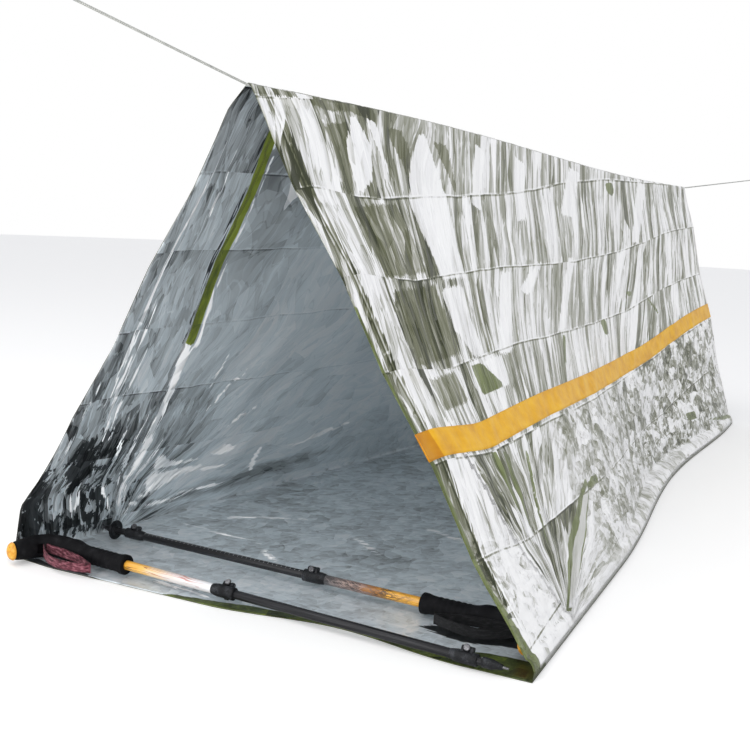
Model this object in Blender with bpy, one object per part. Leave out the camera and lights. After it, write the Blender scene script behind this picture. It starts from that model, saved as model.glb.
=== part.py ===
"""Emergency tent: a tube of metallised film hung on a cord, its mouth spread by two trekking poles.

Metres, +Z up, the ridge along Y with the mouth at -Y. The origin is on the ground below the
middle of the tent, leaving out the free ends of the cord.
"""
import bmesh
import bpy
import math
import numpy as np
from mathutils import Matrix, Vector

# Clearances between neighbouring pieces
GAP = 0.0003
CORD_GAP = 0.0006

# The film tube. The mouth is spread by the poles, the far end is left narrower.
FILM_THICKNESS = 0.0015
TENT_LENGTH = 2.40
MOUTH_HALF_WIDTH = 0.525
FAR_LEFT_X = -0.05
FAR_RIGHT_X = 0.530
MOUTH_RIDGE_X = -0.02
FAR_RIDGE_X = 0.285
MOUTH_RIDGE_HEIGHT = 0.894
FAR_RIDGE_HEIGHT = 0.820
RIDGE_WAVE = 0.009
LIP_BULGE = 0.013
LIP_SCALLOP = 0.031
LIP_SCALLOP_X = 0.170
LIP_SCALLOP_HALF_WIDTH = 0.240
EDGE_BOW = 0.044
EDGE_BOW_START = 0.60
EDGE_BOW_LENGTH = 1.75
HEM_WIDTH = 0.070
HEM_TURN = 0.006
LEFT_SPREAD = 0.023
LEFT_BULGE = 0.018
LEFT_BULGE_RUN = 0.10
LEFT_BULGE_HEIGHT = 0.12
LEFT_SPREAD_LENGTH = 1.10
SKIRT_HEIGHT = 0.030
SKIRT_INSET = 0.030
SKIRT_LEAST_INSET = 0.016
SLACK_SETTLE = 0.028
SLACK_SETTLE_LENGTH = 0.25
SLACK_DIP = 0.032
SLACK_DIP_START = 0.50
SLACK_DIP_LENGTH = 1.70
SLACK_RISE = 0.045
SLACK_RISE_START = 1.50
PACK_FOLD = 0.165
FOLD_DEPTH = 0.004
GATHER_DEPTH = 0.007
GATHER_PITCH = 0.24
STATIONS = 19

# The tape on the right wall, by its distances up the wall from the ground
TAPE_LOW = 0.366
TAPE_HIGH = 0.415
TAPE_THICKNESS = 0.0006
TAPE_WRAP = 0.030

# The cord in the ridge and its free ends
CORD_RADIUS = 0.002
FRONT_GUY_LENGTH = 0.432
FRONT_GUY_RISE = 0.186
REAR_GUY_LENGTH = 1.22
REAR_GUY_RISE = 0.071
KNOT_LENGTH = 0.016
KNOT_RADIUS = 0.0062
LOOP_LENGTH = 0.070
LOOP_WIDTH = 0.034

# The trekking poles, each along its own X from the grip's head to the tip
UPPER_RADIUS = 0.0090
MIDDLE_RADIUS = 0.0078
LOWER_RADIUS = 0.0066
TUBE_WALL = 0.0008
GRIP_LENGTH = 0.230
GRIP_RADIUS = 0.0165
GRIP_COLLAR_RADIUS = 0.0188
HAND_RADIUS = 0.0236
HEAD_RADIUS = 0.0225
HAND_FLATTENING = 0.79
HAND_END = 0.122
BEND_START = 0.065
BEND_RADIUS = 0.045
BEND_ANGLE = math.radians(75)
BEAK_LENGTH = 0.038
CAP_HEIGHT = 0.012
UPPER_TUBE_START = 0.069
UPPER_TUBE_END = 0.470
MIDDLE_HOLD = 0.057
LOWER_LENGTH = 0.450
FERRULE_LENGTH = 0.034
FERRULE_OVERLAP = 0.017
FERRULE_RADIUS = 0.0084
TIP_LENGTH = 0.016
TIP_SHOWING = 0.010
TIP_RADIUS = 0.0022
BASKET_RADIUS = 0.020
BASKET_THICKNESS = 0.0035
LOCK_LENGTH = 0.048
LEVER_PLACE = 0.58
LOCK_LIP = 0.006
LOCK_WALL = 0.0022
LEVER_WIDTH = 0.0094
LEVER_THICKNESS = 0.0024
LEVER_HEAD_RADIUS = 0.0036
KNUCKLE_WIDTH = 0.005
KNUCKLE_TOP = 0.0034
KNUCKLE_BACK = 0.0070
KNUCKLE_FRONT = 0.0045
PIN_RADIUS = 0.0015
SCREW_RADIUS = 0.0058
SCREW_HEAD = 0.004
SCREW_SHAFT_RADIUS = 0.0013
STRAP_WIDTH = 0.018
STRAP_THICKNESS = 0.0016
STRAP_LENGTH = 0.145
STRAP_INNER_SWELL = 0.010
STRAP_OUTER_SWELL = 0.025
STRAP_ANGLE = math.radians(11.3)
STRAP_DROOP = 0.003
STRAP_TILT = 0.22
STRAP_PIN_TURN = math.radians(42)
STRAP_PIN_DEPTH = 0.0062
STRAP_PIN_LENGTH = 0.0244
POCKET_BEHIND = 0.007
POCKET_AHEAD = 0.024
POCKET_FLOOR = 0.0052
POCKET_TOP = 0.016
TUBE_SIDES = 20
SMALL_SIDES = 12

# Where each pole lies: its head from the mouth, its heading, how far its tubes are out, its clamps' turns
FRONT_HEAD_INSIDE = 0.0245
FRONT_HEAD_BACK = 0.037
FRONT_POLE_HEADING = math.radians(-3.1)
FRONT_SHORT_OF_MOUTH = 0.587
FRONT_LOWER_OUT = 0.030
FRONT_LOCK_ROLLS = (math.radians(-50), math.radians(-30))
REAR_HEAD_INSIDE = 0.019
REAR_HEAD_BACK = 0.1315
HEAD_REACH = 0.044
REAR_POLE_HEADING = math.radians(176.6)
REAR_SHORT_OF_MOUTH = 0.621
REAR_LOWER_OUT = 0.046
REAR_LOCK_ROLLS = (math.radians(10), math.radians(30))

# Colours
SILVER = (0.78, 0.79, 0.78)
TAPE_ORANGE = (0.86, 0.50, 0.08)
CORD_GREY = (0.72, 0.72, 0.68)
FOAM_BLACK = (0.018, 0.018, 0.020)
CAP_ORANGE = (0.85, 0.42, 0.03)
TUBE_YELLOW = (0.88, 0.52, 0.06)
TUBE_BLACK = (0.03, 0.03, 0.033)
LOCK_BLACK = (0.03, 0.032, 0.036)
STEEL = (0.62, 0.62, 0.62)
STRAP_RED = (0.42, 0.14, 0.17)
STRAP_BLACK = (0.03, 0.03, 0.03)

FRONT_Y = -(TENT_LENGTH - HEAD_REACH) / 2
REAR_Y = FRONT_Y + TENT_LENGTH
RIDGE_OUTER = CORD_RADIUS + CORD_GAP + FILM_THICKNESS
FRONT_MIDDLE_OUT = 2 * MOUTH_HALF_WIDTH - FRONT_SHORT_OF_MOUTH
REAR_MIDDLE_OUT = 2 * MOUTH_HALF_WIDTH - REAR_SHORT_OF_MOUTH
MIDDLE_LENGTH = max(FRONT_MIDDLE_OUT, REAR_MIDDLE_OUT) + MIDDLE_HOLD
FRONT_POLE_HEAD = (FRONT_HEAD_INSIDE - MOUTH_HALF_WIDTH, FRONT_HEAD_BACK)
REAR_POLE_HEAD = (MOUTH_HALF_WIDTH - REAR_HEAD_INSIDE, REAR_HEAD_BACK)
HAND_REST = 0.102
HAND_HEIGHT = FILM_THICKNESS + GAP + HAND_RADIUS
HEAD_START = BEND_START - BEND_RADIUS * BEND_ANGLE - BEAK_LENGTH


def clear_scene():
    for old in list(bpy.data.objects):
        bpy.data.objects.remove(old)


def material(name, colour, roughness, metallic):
    found = bpy.data.materials.get(name)
    if found:
        return found
    made = bpy.data.materials.new(name)
    made.use_nodes = True
    shader = made.node_tree.nodes["Principled BSDF"]
    shader.inputs["Base Color"].default_value = (*colour, 1.0)
    shader.inputs["Roughness"].default_value = roughness
    shader.inputs["Metallic"].default_value = metallic
    return made


def empty(name, place, parent=None):
    made = bpy.data.objects.new(name, None)
    made.empty_display_size = 0.02
    bpy.context.collection.objects.link(made)
    made.parent = parent
    made.matrix_local = place
    return made


def put(name, mesh, finish, parent=None, place=None):
    mesh.materials.clear()
    mesh.materials.append(finish)
    made = bpy.data.objects.new(name, mesh)
    bpy.context.collection.objects.link(made)
    made.parent = parent
    if place is not None:
        made.matrix_local = place
    return made


def mesh_from(bm, name, smooth_angle=35):
    bmesh.ops.recalc_face_normals(bm, faces=bm.faces)
    mesh = bpy.data.meshes.new(name)
    bm.to_mesh(mesh)
    bm.free()
    mesh.shade_smooth()
    mesh.set_sharp_from_angle(angle=math.radians(smooth_angle))
    return mesh


def turned(profile, sides, closed=False):
    """A body turned about X from (x, radius) points: a solid, or a ring where the profile is closed."""
    bm = bmesh.new()
    verts = [bm.verts.new((x, 0, r)) for x, r in profile]
    edges = [bm.edges.new(pair) for pair in zip(verts, verts[1:])]
    if closed:
        edges.append(bm.edges.new((verts[-1], verts[0])))
    bmesh.ops.spin(bm, geom=verts + edges, cent=(0, 0, 0), axis=(1, 0, 0),
                   angle=math.tau, steps=sides, use_merge=True)
    bmesh.ops.remove_doubles(bm, verts=bm.verts, dist=1e-6)
    return bm


def pipe(start, end, outer, inner, sides=TUBE_SIDES):
    return turned([(start, inner), (end, inner), (end, outer), (start, outer)], sides, closed=True)


def rod(start, end, radius, sides=SMALL_SIDES):
    return turned([(start, 0), (start, radius), (end, radius), (end, 0)], sides)


def block(low, high):
    bm = bmesh.new()
    size = Vector(high) - Vector(low)
    middle = (Vector(high) + Vector(low)) / 2
    bmesh.ops.create_cube(bm, size=1, matrix=Matrix.Translation(middle) @ Matrix.Diagonal((*size, 1)))
    return bm


def plate(outline, start, end):
    """A plate with a (y, z) outline, extruded along X."""
    bm = bmesh.new()
    verts = [bm.verts.new((start, y, z)) for y, z in outline]
    face = bm.faces.new(verts)
    made = bmesh.ops.extrude_face_region(bm, geom=[face])
    moved = [item for item in made["geom"] if isinstance(item, bmesh.types.BMVert)]
    bmesh.ops.translate(bm, verts=moved, vec=(end - start, 0, 0))
    return bm


def combined(name, body, joined=(), cut=()):
    """One mesh from a body with others joined to it and others cut from it."""
    base = bpy.data.objects.new(name, mesh_from(body, name))
    bpy.context.collection.objects.link(base)
    helpers = []
    steps = [("UNION", bm) for bm in joined] + [("DIFFERENCE", bm) for bm in cut]
    for operation, bm in steps:
        helper = bpy.data.objects.new(name + "_tool", mesh_from(bm, name + "_tool"))
        bpy.context.collection.objects.link(helper)
        helper.hide_render = True
        helper.display_type = "WIRE"
        helpers.append(helper)
        modifier = base.modifiers.new(operation.title(), "BOOLEAN")
        modifier.operation = operation
        modifier.solver = "EXACT"
        modifier.object = helper
    bpy.context.view_layer.update()
    graph = bpy.context.evaluated_depsgraph_get()
    mesh = bpy.data.meshes.new_from_object(base.evaluated_get(graph))
    mesh.name = name
    for helper in [base, *helpers]:
        bpy.data.objects.remove(helper)
    mesh.shade_smooth()
    mesh.set_sharp_from_angle(angle=math.radians(35))
    return mesh


def cord(name, points, finish, parent=None):
    """A cord of the one radius through a list of points."""
    curve = bpy.data.curves.new(name, "CURVE")
    curve.dimensions = "3D"
    spline = curve.splines.new("POLY")
    spline.points.add(len(points) - 1)
    for spot, point in zip(spline.points, points):
        spot.co = (*point, 1)
    curve.bevel_depth = CORD_RADIUS
    curve.bevel_resolution = 2
    curve.use_fill_caps = True
    curve.materials.append(finish)
    made = bpy.data.objects.new(name, curve)
    bpy.context.collection.objects.link(made)
    made.parent = parent
    return made


def smooth_route(spots, count):
    """Points evenly spread along a smooth curve through a few chosen spots."""
    spots = np.array(spots)
    rows = np.vstack([2 * spots[0] - spots[1], spots, 2 * spots[-1] - spots[-2]])
    fine = []
    for k in range(1, len(rows) - 2):
        a, b, c, d = rows[k - 1:k + 3]
        for t in np.linspace(0, 1, 40, endpoint=False):
            fine.append(0.5 * (2 * b + (c - a) * t + (2 * a - 5 * b + 4 * c - d) * t ** 2
                               + (3 * b - a - 3 * c + d) * t ** 3))
    fine.append(rows[-2])
    fine = np.array(fine)
    run = np.concatenate([[0], np.cumsum(np.linalg.norm(np.diff(fine, axis=0), axis=1))])
    even = np.linspace(0, run[-1], count)
    return np.stack([np.interp(even, run, fine[:, k]) for k in range(3)], axis=1)


# The film tube

def share(y):
    return (y - FRONT_Y) / TENT_LENGTH


def between(start, end, y):
    return start + (end - start) * share(y)


def ridge_centre(y):
    """The middle of the cord in the ridge, as (x, z)."""
    height = between(MOUTH_RIDGE_HEIGHT, FAR_RIDGE_HEIGHT, y) - RIDGE_OUTER
    return (between(MOUTH_RIDGE_X, FAR_RIDGE_X, y),
            height + RIDGE_WAVE * math.sin(math.tau * share(y)))


def bow(y):
    """How far along its inward bow the right edge is, 0 to 1."""
    along = (y - FRONT_Y - EDGE_BOW_START) / EDGE_BOW_LENGTH
    if not 0 < along < 1:
        return 0.0
    return math.sin(math.pi * along) ** 2


def eased(part):
    held = min(1, max(0, part))
    return held * held * (3 - 2 * held)


def slack(y):
    """How far the right wall's creases and tape lie above where a straight sheet would hold them."""
    along = y - FRONT_Y
    dip = (along - SLACK_DIP_START) / SLACK_DIP_LENGTH
    lowered = SLACK_SETTLE * eased(along / SLACK_SETTLE_LENGTH)
    if 0 < dip < 1:
        lowered += SLACK_DIP * math.sin(math.pi * dip) ** 2
    return SLACK_RISE * eased((along - SLACK_RISE_START) / (TENT_LENGTH - SLACK_RISE_START)) - lowered


def right_edge(y):
    return between(MOUTH_HALF_WIDTH, FAR_RIGHT_X, y) - EDGE_BOW * bow(y)


def left_edge(y):
    return between(-MOUTH_HALF_WIDTH, FAR_LEFT_X, y)


def fold(run, y, top):
    """How far a wall stands out or in, by its packing folds and its gathers, run metres up it."""
    calm = min(1, run / 0.12) * min(1, (top - run) / 0.10)
    near_mouth = min(1, (y - FRONT_Y) / 0.15)
    near_rear = min(1, (REAR_Y - y) / 0.10)
    crease = FOLD_DEPTH * (2 * abs((run / PACK_FOLD / 2) % 1 - 0.5) - 0.5) * 2
    gather = math.sin(math.tau * y / GATHER_PITCH + 1.7 * math.sin(3.1 * y))
    pull = GATHER_DEPTH * gather * (0.35 + 0.65 * run / top)
    turn_in = HEM_TURN if y < FRONT_Y + HEM_WIDTH / 2 else 0
    return calm * (crease + pull * near_mouth * near_rear - turn_in)


def left_spread(run, y, top):
    """The left wall is pushed out near the mouth by the poles' ends, most of all low down."""
    fade = max(0, 1 - (y - FRONT_Y) / LEFT_SPREAD_LENGTH) ** 1.5
    low = math.exp(-((run - LEFT_BULGE_RUN) / LEFT_BULGE_HEIGHT) ** 2)
    held = min(1, 0.35 + run / 0.06) * min(1, (top - run) / 0.05)
    return fade * held * (LEFT_SPREAD * (1 - 0.5 * run / top) + LEFT_BULGE * low)


def wall_points(foot, outward, y, runs, upper_shares):
    """Points up one wall from its foot to where it meets the ridge's rounding."""
    x_ridge, z_ridge = ridge_centre(y)
    lean = Vector((x_ridge - foot[0], z_ridge - foot[1]))
    up = lean.normalized()
    normal = Vector((up.y, -up.x)) * outward
    end = Vector((x_ridge, z_ridge)) + normal * RIDGE_OUTER
    start = Vector(foot)
    top = (end - start).length
    rise = (end - start) / top
    listed = list(runs) + [runs[-1] + (top - runs[-1]) * part for part in upper_shares]
    points = []
    for run in listed:
        out = fold(run, y, top)
        place = run
        if outward < 0:
            out += left_spread(run, y, top)
        else:
            place += slack(y) * min(1, run / PACK_FOLD) * min(1, (top - run) / PACK_FOLD)
        points.append(start + rise * place + normal * out)
    return points, end, normal


TAPE_RUNS = (TAPE_LOW - SKIRT_HEIGHT, TAPE_HIGH - SKIRT_HEIGHT)
RIGHT_RUNS = (0.065, 0.135, 0.220, 0.300, *TAPE_RUNS, 0.465, 0.545, 0.630)
RIGHT_UPPER = (0.42, 0.78)
LEFT_RUNS = (0.10, 0.24, 0.40, 0.60)
LEFT_UPPER = (0.42, 0.80)
TAPE_ROW = 2 + RIGHT_RUNS.index(TAPE_RUNS[0])
RIDGE_STEPS = 4
FLOOR_STEPS = 6


def section(y):
    """The tube's outer outline at one station, as (x, z) points from the right edge over the ridge."""
    edge = right_edge(y)
    inset = SKIRT_LEAST_INSET + SKIRT_INSET * bow(y)
    foot = (edge - inset, SKIRT_HEIGHT)
    right, right_top, right_normal = wall_points(foot, 1, y, RIGHT_RUNS, RIGHT_UPPER)
    left, left_top, left_normal = wall_points((left_edge(y), 0.0), -1, y, LEFT_RUNS, LEFT_UPPER)
    ridge = Vector(ridge_centre(y))
    first = math.atan2(right_normal.y, right_normal.x)
    last = math.atan2(left_normal.y, left_normal.x)
    rounding = []
    for step in range(1, RIDGE_STEPS):
        turn = first + (last - first) * step / RIDGE_STEPS
        rounding.append(ridge + Vector((math.cos(turn), math.sin(turn))) * RIDGE_OUTER)
    over = [Vector((edge, 0)), Vector(foot), *right, right_top, *rounding, left_top, *reversed(left)]
    floor = [Vector((left_edge(y) + (edge - left_edge(y)) * k / FLOOR_STEPS, 0)) for k in range(FLOOR_STEPS)]
    return over + floor


def lip(x, y):
    """How far the floor's front edge lies forward of the mouth, less the scallop in its middle."""
    forward = LIP_BULGE * min(1, (x + MOUTH_HALF_WIDTH) / 0.10)
    across = (x - LIP_SCALLOP_X) / LIP_SCALLOP_HALF_WIDTH
    if abs(across) < 1:
        forward -= LIP_SCALLOP * math.cos(math.pi * across / 2) ** 2
    fade = max(0, 1 - (y - FRONT_Y) / HEM_WIDTH)
    return forward * fade


def stations():
    rest = TENT_LENGTH - HEM_WIDTH
    return [FRONT_Y] + [FRONT_Y + HEM_WIDTH + rest * k / (STATIONS - 1) for k in range(STATIONS)]


def film_tube(finish):
    """The sheet's outer face, closed round the tube and open at both ends, thickened inwards."""
    rings = [section(y) for y in stations()]
    around = len(rings[0])
    bm = bmesh.new()
    rows = []
    for y, ring in zip(stations(), rings):
        row = []
        for x, z in ring:
            forward = lip(x, y) if z == 0 else 0
            row.append(bm.verts.new((x, y - forward, z)))
        rows.append(row)
    for near, far in zip(rows, rows[1:]):
        for k in range(around):
            after = (k + 1) % around
            bm.faces.new((near[k], near[after], far[after], far[k]))
    made = put("film_tube", mesh_from(bm, "film_tube", 20), finish)
    wall = made.modifiers.new("Film", "SOLIDIFY")
    wall.thickness = FILM_THICKNESS
    wall.offset = -1
    wall.use_even_offset = True
    wall.use_quality_normals = True
    return made


def tape_sheet(y, out):
    """The tape's lower and upper edge at one station, a distance out from the film's outer face."""
    ring = section(y)
    low = ring[TAPE_ROW]
    high = ring[TAPE_ROW + 1]
    rise = (high - low).normalized()
    normal = Vector((rise.y, -rise.x))
    return low + normal * out, high + normal * out


def orange_band(finish):
    """Tape along the right wall's outer face, turned round the mouth's edge and stuck inside."""
    inside = -(FILM_THICKNESS + GAP)
    ends = [(FRONT_Y + TAPE_WRAP, inside), (FRONT_Y - GAP, inside), (FRONT_Y - GAP, GAP)]
    places = ends + [(y, GAP) for y in stations()[1:]]
    bm = bmesh.new()
    pairs = []
    for y, out in places:
        held = min(max(y, FRONT_Y), REAR_Y)
        if out < 0 and y > FRONT_Y:
            near = Vector(tape_sheet(FRONT_Y, out)[0]), Vector(tape_sheet(FRONT_Y, out)[1])
            far = tape_sheet(stations()[1], out)
            part = (y - FRONT_Y) / HEM_WIDTH
            low = near[0].lerp(far[0], part)
            high = near[1].lerp(far[1], part)
        else:
            low, high = tape_sheet(held, out)
        pairs.append((bm.verts.new((low.x, y, low.y)), bm.verts.new((high.x, y, high.y))))
    for (low, high), (next_low, next_high) in zip(pairs, pairs[1:]):
        bm.faces.new((low, next_low, next_high, high))
    mesh = bpy.data.meshes.new("orange_band")
    bm.normal_update()
    bm.to_mesh(mesh)
    bm.free()
    made = put("orange_band", mesh, finish)
    layer = made.modifiers.new("Tape", "SOLIDIFY")
    layer.thickness = TAPE_THICKNESS
    layer.offset = 1
    layer.use_even_offset = True
    return made


# The cord

def guy_end(start, heading, length, rise):
    direction = Vector((heading[0], heading[1], rise * math.hypot(*heading))).normalized()
    return direction, start + direction * length


def end_knot(name, near, direction, finish):
    """A wrapped knot: a barrel drawn in at its middle."""
    half = KNOT_LENGTH / 2
    profile = [(0, 0), (0, KNOT_RADIUS * 0.7), (half * 0.35, KNOT_RADIUS), (half, KNOT_RADIUS * 0.86),
               (half * 1.65, KNOT_RADIUS), (KNOT_LENGTH, KNOT_RADIUS * 0.7), (KNOT_LENGTH, 0)]
    turn = direction.to_track_quat("X", "Z").to_matrix().to_4x4()
    return put(name, mesh_from(turned(profile, SMALL_SIDES), name), finish, None,
               Matrix.Translation(near) @ turn)


def end_loop(name, start, direction, finish):
    """A teardrop loop of the cord beyond its knot, hanging in the cord's own upright plane."""
    side = Vector((-direction.y, direction.x, 0)).normalized()
    up = direction.cross(side)
    spread = CORD_RADIUS + GAP
    shape = [(0, spread), (0.12, spread), (0.40, LOOP_WIDTH * 0.40), (0.72, LOOP_WIDTH * 0.5),
             (0.95, LOOP_WIDTH * 0.27), (1.0, 0)]
    half = [(along * LOOP_LENGTH, across) for along, across in shape]
    whole = half + [(along, -across) for along, across in reversed(half[:-1])]
    spots = [start + direction * along + up * across for along, across in whole]
    return cord(name, smooth_route(spots, 17), finish)


def cords(finish):
    held = [Vector((ridge_centre(y)[0], y, ridge_centre(y)[1])) for y in stations()]
    cord("ridge_cord", held, finish)
    lean = (FAR_RIDGE_X - MOUTH_RIDGE_X) / TENT_LENGTH
    ends = (("front", held[0], (-lean, -1), FRONT_GUY_LENGTH, FRONT_GUY_RISE, 8),
            ("rear", held[-1], (lean, 1), REAR_GUY_LENGTH, REAR_GUY_RISE, 14))
    for name, start, heading, length, rise, count in ends:
        direction, far = guy_end(start, heading, length, rise)
        near = start + direction * GAP
        cord(name + "_guy_cord", [near.lerp(far, k / (count - 1)) for k in range(count)], finish)
        knot_start = far + direction * GAP
        end_knot(name + "_end_knot", knot_start, direction, finish)
        loop_start = knot_start + direction * (KNOT_LENGTH + GAP)
        end_loop(name + "_end_loop", loop_start, direction, finish)


# The poles

def bent_point(x, y, z, side):
    """Where a point of the straight grip goes when its head is bent to the strap's side."""
    near = min(1, max(0, (x - HAND_END) / 0.02))
    across = side * y * (HAND_FLATTENING + (1 - HAND_FLATTENING) * near)
    if x >= BEND_START:
        return x, side * across, z
    run = BEND_START - x
    turn = min(run / BEND_RADIUS, BEND_ANGLE)
    beyond = max(0, run - BEND_RADIUS * BEND_ANGLE)
    arm = BEND_RADIUS - across
    return (BEND_START - arm * math.sin(turn) - beyond * math.cos(turn),
            side * (BEND_RADIUS - arm * math.cos(turn) + beyond * math.sin(turn)), z)


def bent(bm, side):
    for vert in bm.verts:
        vert.co = bent_point(*vert.co, side)
    return bm


def grip_profile():
    head = [(0.0, 0.0), (0.0, 0.0150), (0.004, 0.0182), (0.014, 0.0200), (BEAK_LENGTH, HEAD_RADIUS)]
    listed = [(HEAD_START + along, radius) for along, radius in head]
    for k in range(1, 6):
        listed.append((HEAD_START + BEAK_LENGTH + BEND_RADIUS * BEND_ANGLE * k / 6, HEAD_RADIUS))
    listed += [(BEND_START, HEAD_RADIUS), (0.078, HAND_RADIUS), (0.090, HAND_RADIUS - 0.0012),
               (0.102, HAND_RADIUS), (0.112, HAND_RADIUS - 0.0006), (HAND_END, 0.0190), (0.134, GRIP_RADIUS)]
    for k in range(6):
        listed.append((0.142 + 0.011 * k, GRIP_RADIUS + (0.0006 if k % 2 else -0.0004)))
    listed += [(GRIP_LENGTH - 0.018, GRIP_RADIUS), (GRIP_LENGTH - 0.009, GRIP_COLLAR_RADIUS),
               (GRIP_LENGTH - 0.0015, GRIP_COLLAR_RADIUS), (GRIP_LENGTH, GRIP_COLLAR_RADIUS - 0.0015),
               (GRIP_LENGTH, 0.0)]
    return listed


def strap_pin_place(side):
    """The strap's pin stands inside the bend, a little way under the surface."""
    arm = BEND_RADIUS - HEAD_RADIUS * HAND_FLATTENING + STRAP_PIN_DEPTH
    return (BEND_START - arm * math.sin(STRAP_PIN_TURN),
            side * (BEND_RADIUS - arm * math.cos(STRAP_PIN_TURN)))


def grip(side):
    bore = rod(UPPER_TUBE_START - GAP, GRIP_LENGTH + 0.01, UPPER_RADIUS + GAP, TUBE_SIDES)
    pin_x, pin_y = strap_pin_place(side)
    half_width = STRAP_WIDTH / 2 + 2 * GAP
    near = -side * POCKET_FLOOR
    far = side * POCKET_TOP
    pocket = block((-POCKET_BEHIND, min(near, far), -half_width), (POCKET_AHEAD, max(near, far), half_width))
    bmesh.ops.rotate(pocket, verts=pocket.verts, matrix=Matrix.Rotation(side * STRAP_ANGLE, 3, "Z"))
    bmesh.ops.translate(pocket, verts=pocket.verts, vec=(pin_x, pin_y, 0))
    half = STRAP_PIN_LENGTH / 2 + GAP
    hole = rod(-half, half, PIN_RADIUS + GAP)
    bmesh.ops.rotate(hole, verts=hole.verts, matrix=Matrix.Rotation(math.pi / 2, 3, "Y"))
    bmesh.ops.translate(hole, verts=hole.verts, vec=(pin_x, pin_y, 0))
    return combined("grip", bent(turned(grip_profile(), 16), side), cut=(bore, pocket, hole))


def grip_cap(side):
    rim = 0.0178
    face = HEAD_START - GAP
    profile = [(face, 0), (face, rim - 0.001), (face - 0.0015, rim), (face - 0.005, rim * 0.93),
               (face - 0.009, rim * 0.68), (face - CAP_HEIGHT, 0)]
    return mesh_from(bent(turned(profile, 16), side), "grip_cap")


def wrist_strap(side):
    """A webbing loop: both ends are sewn round the pin, and it opens like a lens along the grip."""
    eye = PIN_RADIUS + GAP + STRAP_THICKNESS / 2
    points = []
    for degrees in range(90, 271, 30):
        turn = math.radians(degrees)
        points.append((eye * math.cos(turn), eye * math.sin(turn)))
    near = STRAP_THICKNESS / 2 + GAP
    inner = []
    outer = []
    for k in range(1, 10):
        along = STRAP_LENGTH * k / 10
        inner_swell = math.sin(math.pi * (k / 10) ** 1.2)
        outer_swell = math.sin(math.pi * (k / 10) ** 0.85)
        inner.append((along, -near - (STRAP_INNER_SWELL - near) * inner_swell))
        outer.append((along, near + (STRAP_OUTER_SWELL - near) * outer_swell))
    turn_end = [(STRAP_LENGTH - 0.004, -near * 1.4), (STRAP_LENGTH, 0), (STRAP_LENGTH - 0.004, near * 1.4)]
    loop = points + inner + turn_end + list(reversed(outer))
    bm = bmesh.new()
    half = STRAP_THICKNESS / 2
    rails = []
    count = len(loop)
    for k, (x, y) in enumerate(loop):
        before = Vector(loop[k - 1])
        after = Vector(loop[(k + 1) % count])
        along = (after - before).normalized()
        normal = Vector((along.y, -along.x))
        corner_before = (Vector((x, y)) - before).normalized()
        stretch = 1 / max(0.6, corner_before.dot(along))
        drop = STRAP_TILT * max(0, y - eye) if x > 0 else 0
        if x > 0:
            drop += STRAP_DROOP * (x / STRAP_LENGTH) ** 2
        rail = []
        for out, z in ((half, -STRAP_WIDTH / 2), (half, STRAP_WIDTH / 2),
                       (-half, STRAP_WIDTH / 2), (-half, -STRAP_WIDTH / 2)):
            spot = Vector((x, y)) + normal * out * stretch
            rail.append(bm.verts.new((spot.x, side * spot.y, z - drop)))
        rails.append(rail)
    for k in range(count):
        here = rails[k]
        there = rails[(k + 1) % count]
        for j in range(4):
            bm.faces.new((here[j], here[(j + 1) % 4], there[(j + 1) % 4], there[j]))
    turn = Matrix.Rotation(side * STRAP_ANGLE, 3, "Z")
    bmesh.ops.rotate(bm, verts=bm.verts, matrix=turn)
    return mesh_from(bm, "wrist_strap")


def sleeve_radius(outer_tube):
    return outer_tube + GAP + LOCK_WALL


def pin_height(outer_tube):
    return sleeve_radius(outer_tube) + LEVER_HEAD_RADIUS + GAP


def mirrored(bm, side):
    """The same shape, turned over across the pole for the pole whose strap is on the other side."""
    if side > 0:
        bmesh.ops.scale(bm, verts=bm.verts, vec=(1, -1, 1))
        bmesh.ops.reverse_faces(bm, faces=bm.faces)
    return bm


def lock_sleeve(outer_tube, inner_tube, side):
    """A clamp over the end of one tube and round the next, with two knuckles for the lever's pin."""
    radius = sleeve_radius(outer_tube)
    end = LOCK_LENGTH
    step = end - LOCK_LIP
    profile = [(0, outer_tube + GAP), (step + GAP, outer_tube + GAP), (step + GAP, inner_tube + GAP),
               (end, inner_tube + GAP), (end, radius - 0.0015), (end - 0.0015, radius),
               (0.012, radius), (0.004, radius - 0.0012), (0, radius - 0.0022)]
    body = turned(profile, 24, closed=True)
    height = pin_height(outer_tube)
    near = LEVER_WIDTH / 2 + GAP
    middle = lever_middle()
    knuckles = []
    for low, high in ((middle - near - KNUCKLE_WIDTH, middle - near), (middle + near, middle + near + KNUCKLE_WIDTH)):
        top = height + KNUCKLE_TOP
        foot = radius - LOCK_WALL * 0.6
        outline = [(-KNUCKLE_BACK, height + 0.001), (-0.0040, top), (0.0020, top),
                   (KNUCKLE_FRONT, height + 0.001)]
        for back in (KNUCKLE_FRONT, 0, -KNUCKLE_BACK / 2, -KNUCKLE_BACK):
            outline.append((back, math.sqrt(foot ** 2 - back ** 2)))
        knuckles.append(mirrored(plate(outline, low, high), side))
    reach = LEVER_WIDTH / 2 + KNUCKLE_WIDTH + 0.004
    hole = rod(middle - reach, middle + reach, PIN_RADIUS + GAP)
    bmesh.ops.translate(hole, verts=hole.verts, vec=(0, 0, height))
    return combined("lock_sleeve", body, joined=knuckles, cut=(hole,))


def lever_middle():
    return LOCK_LENGTH * LEVER_PLACE


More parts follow.
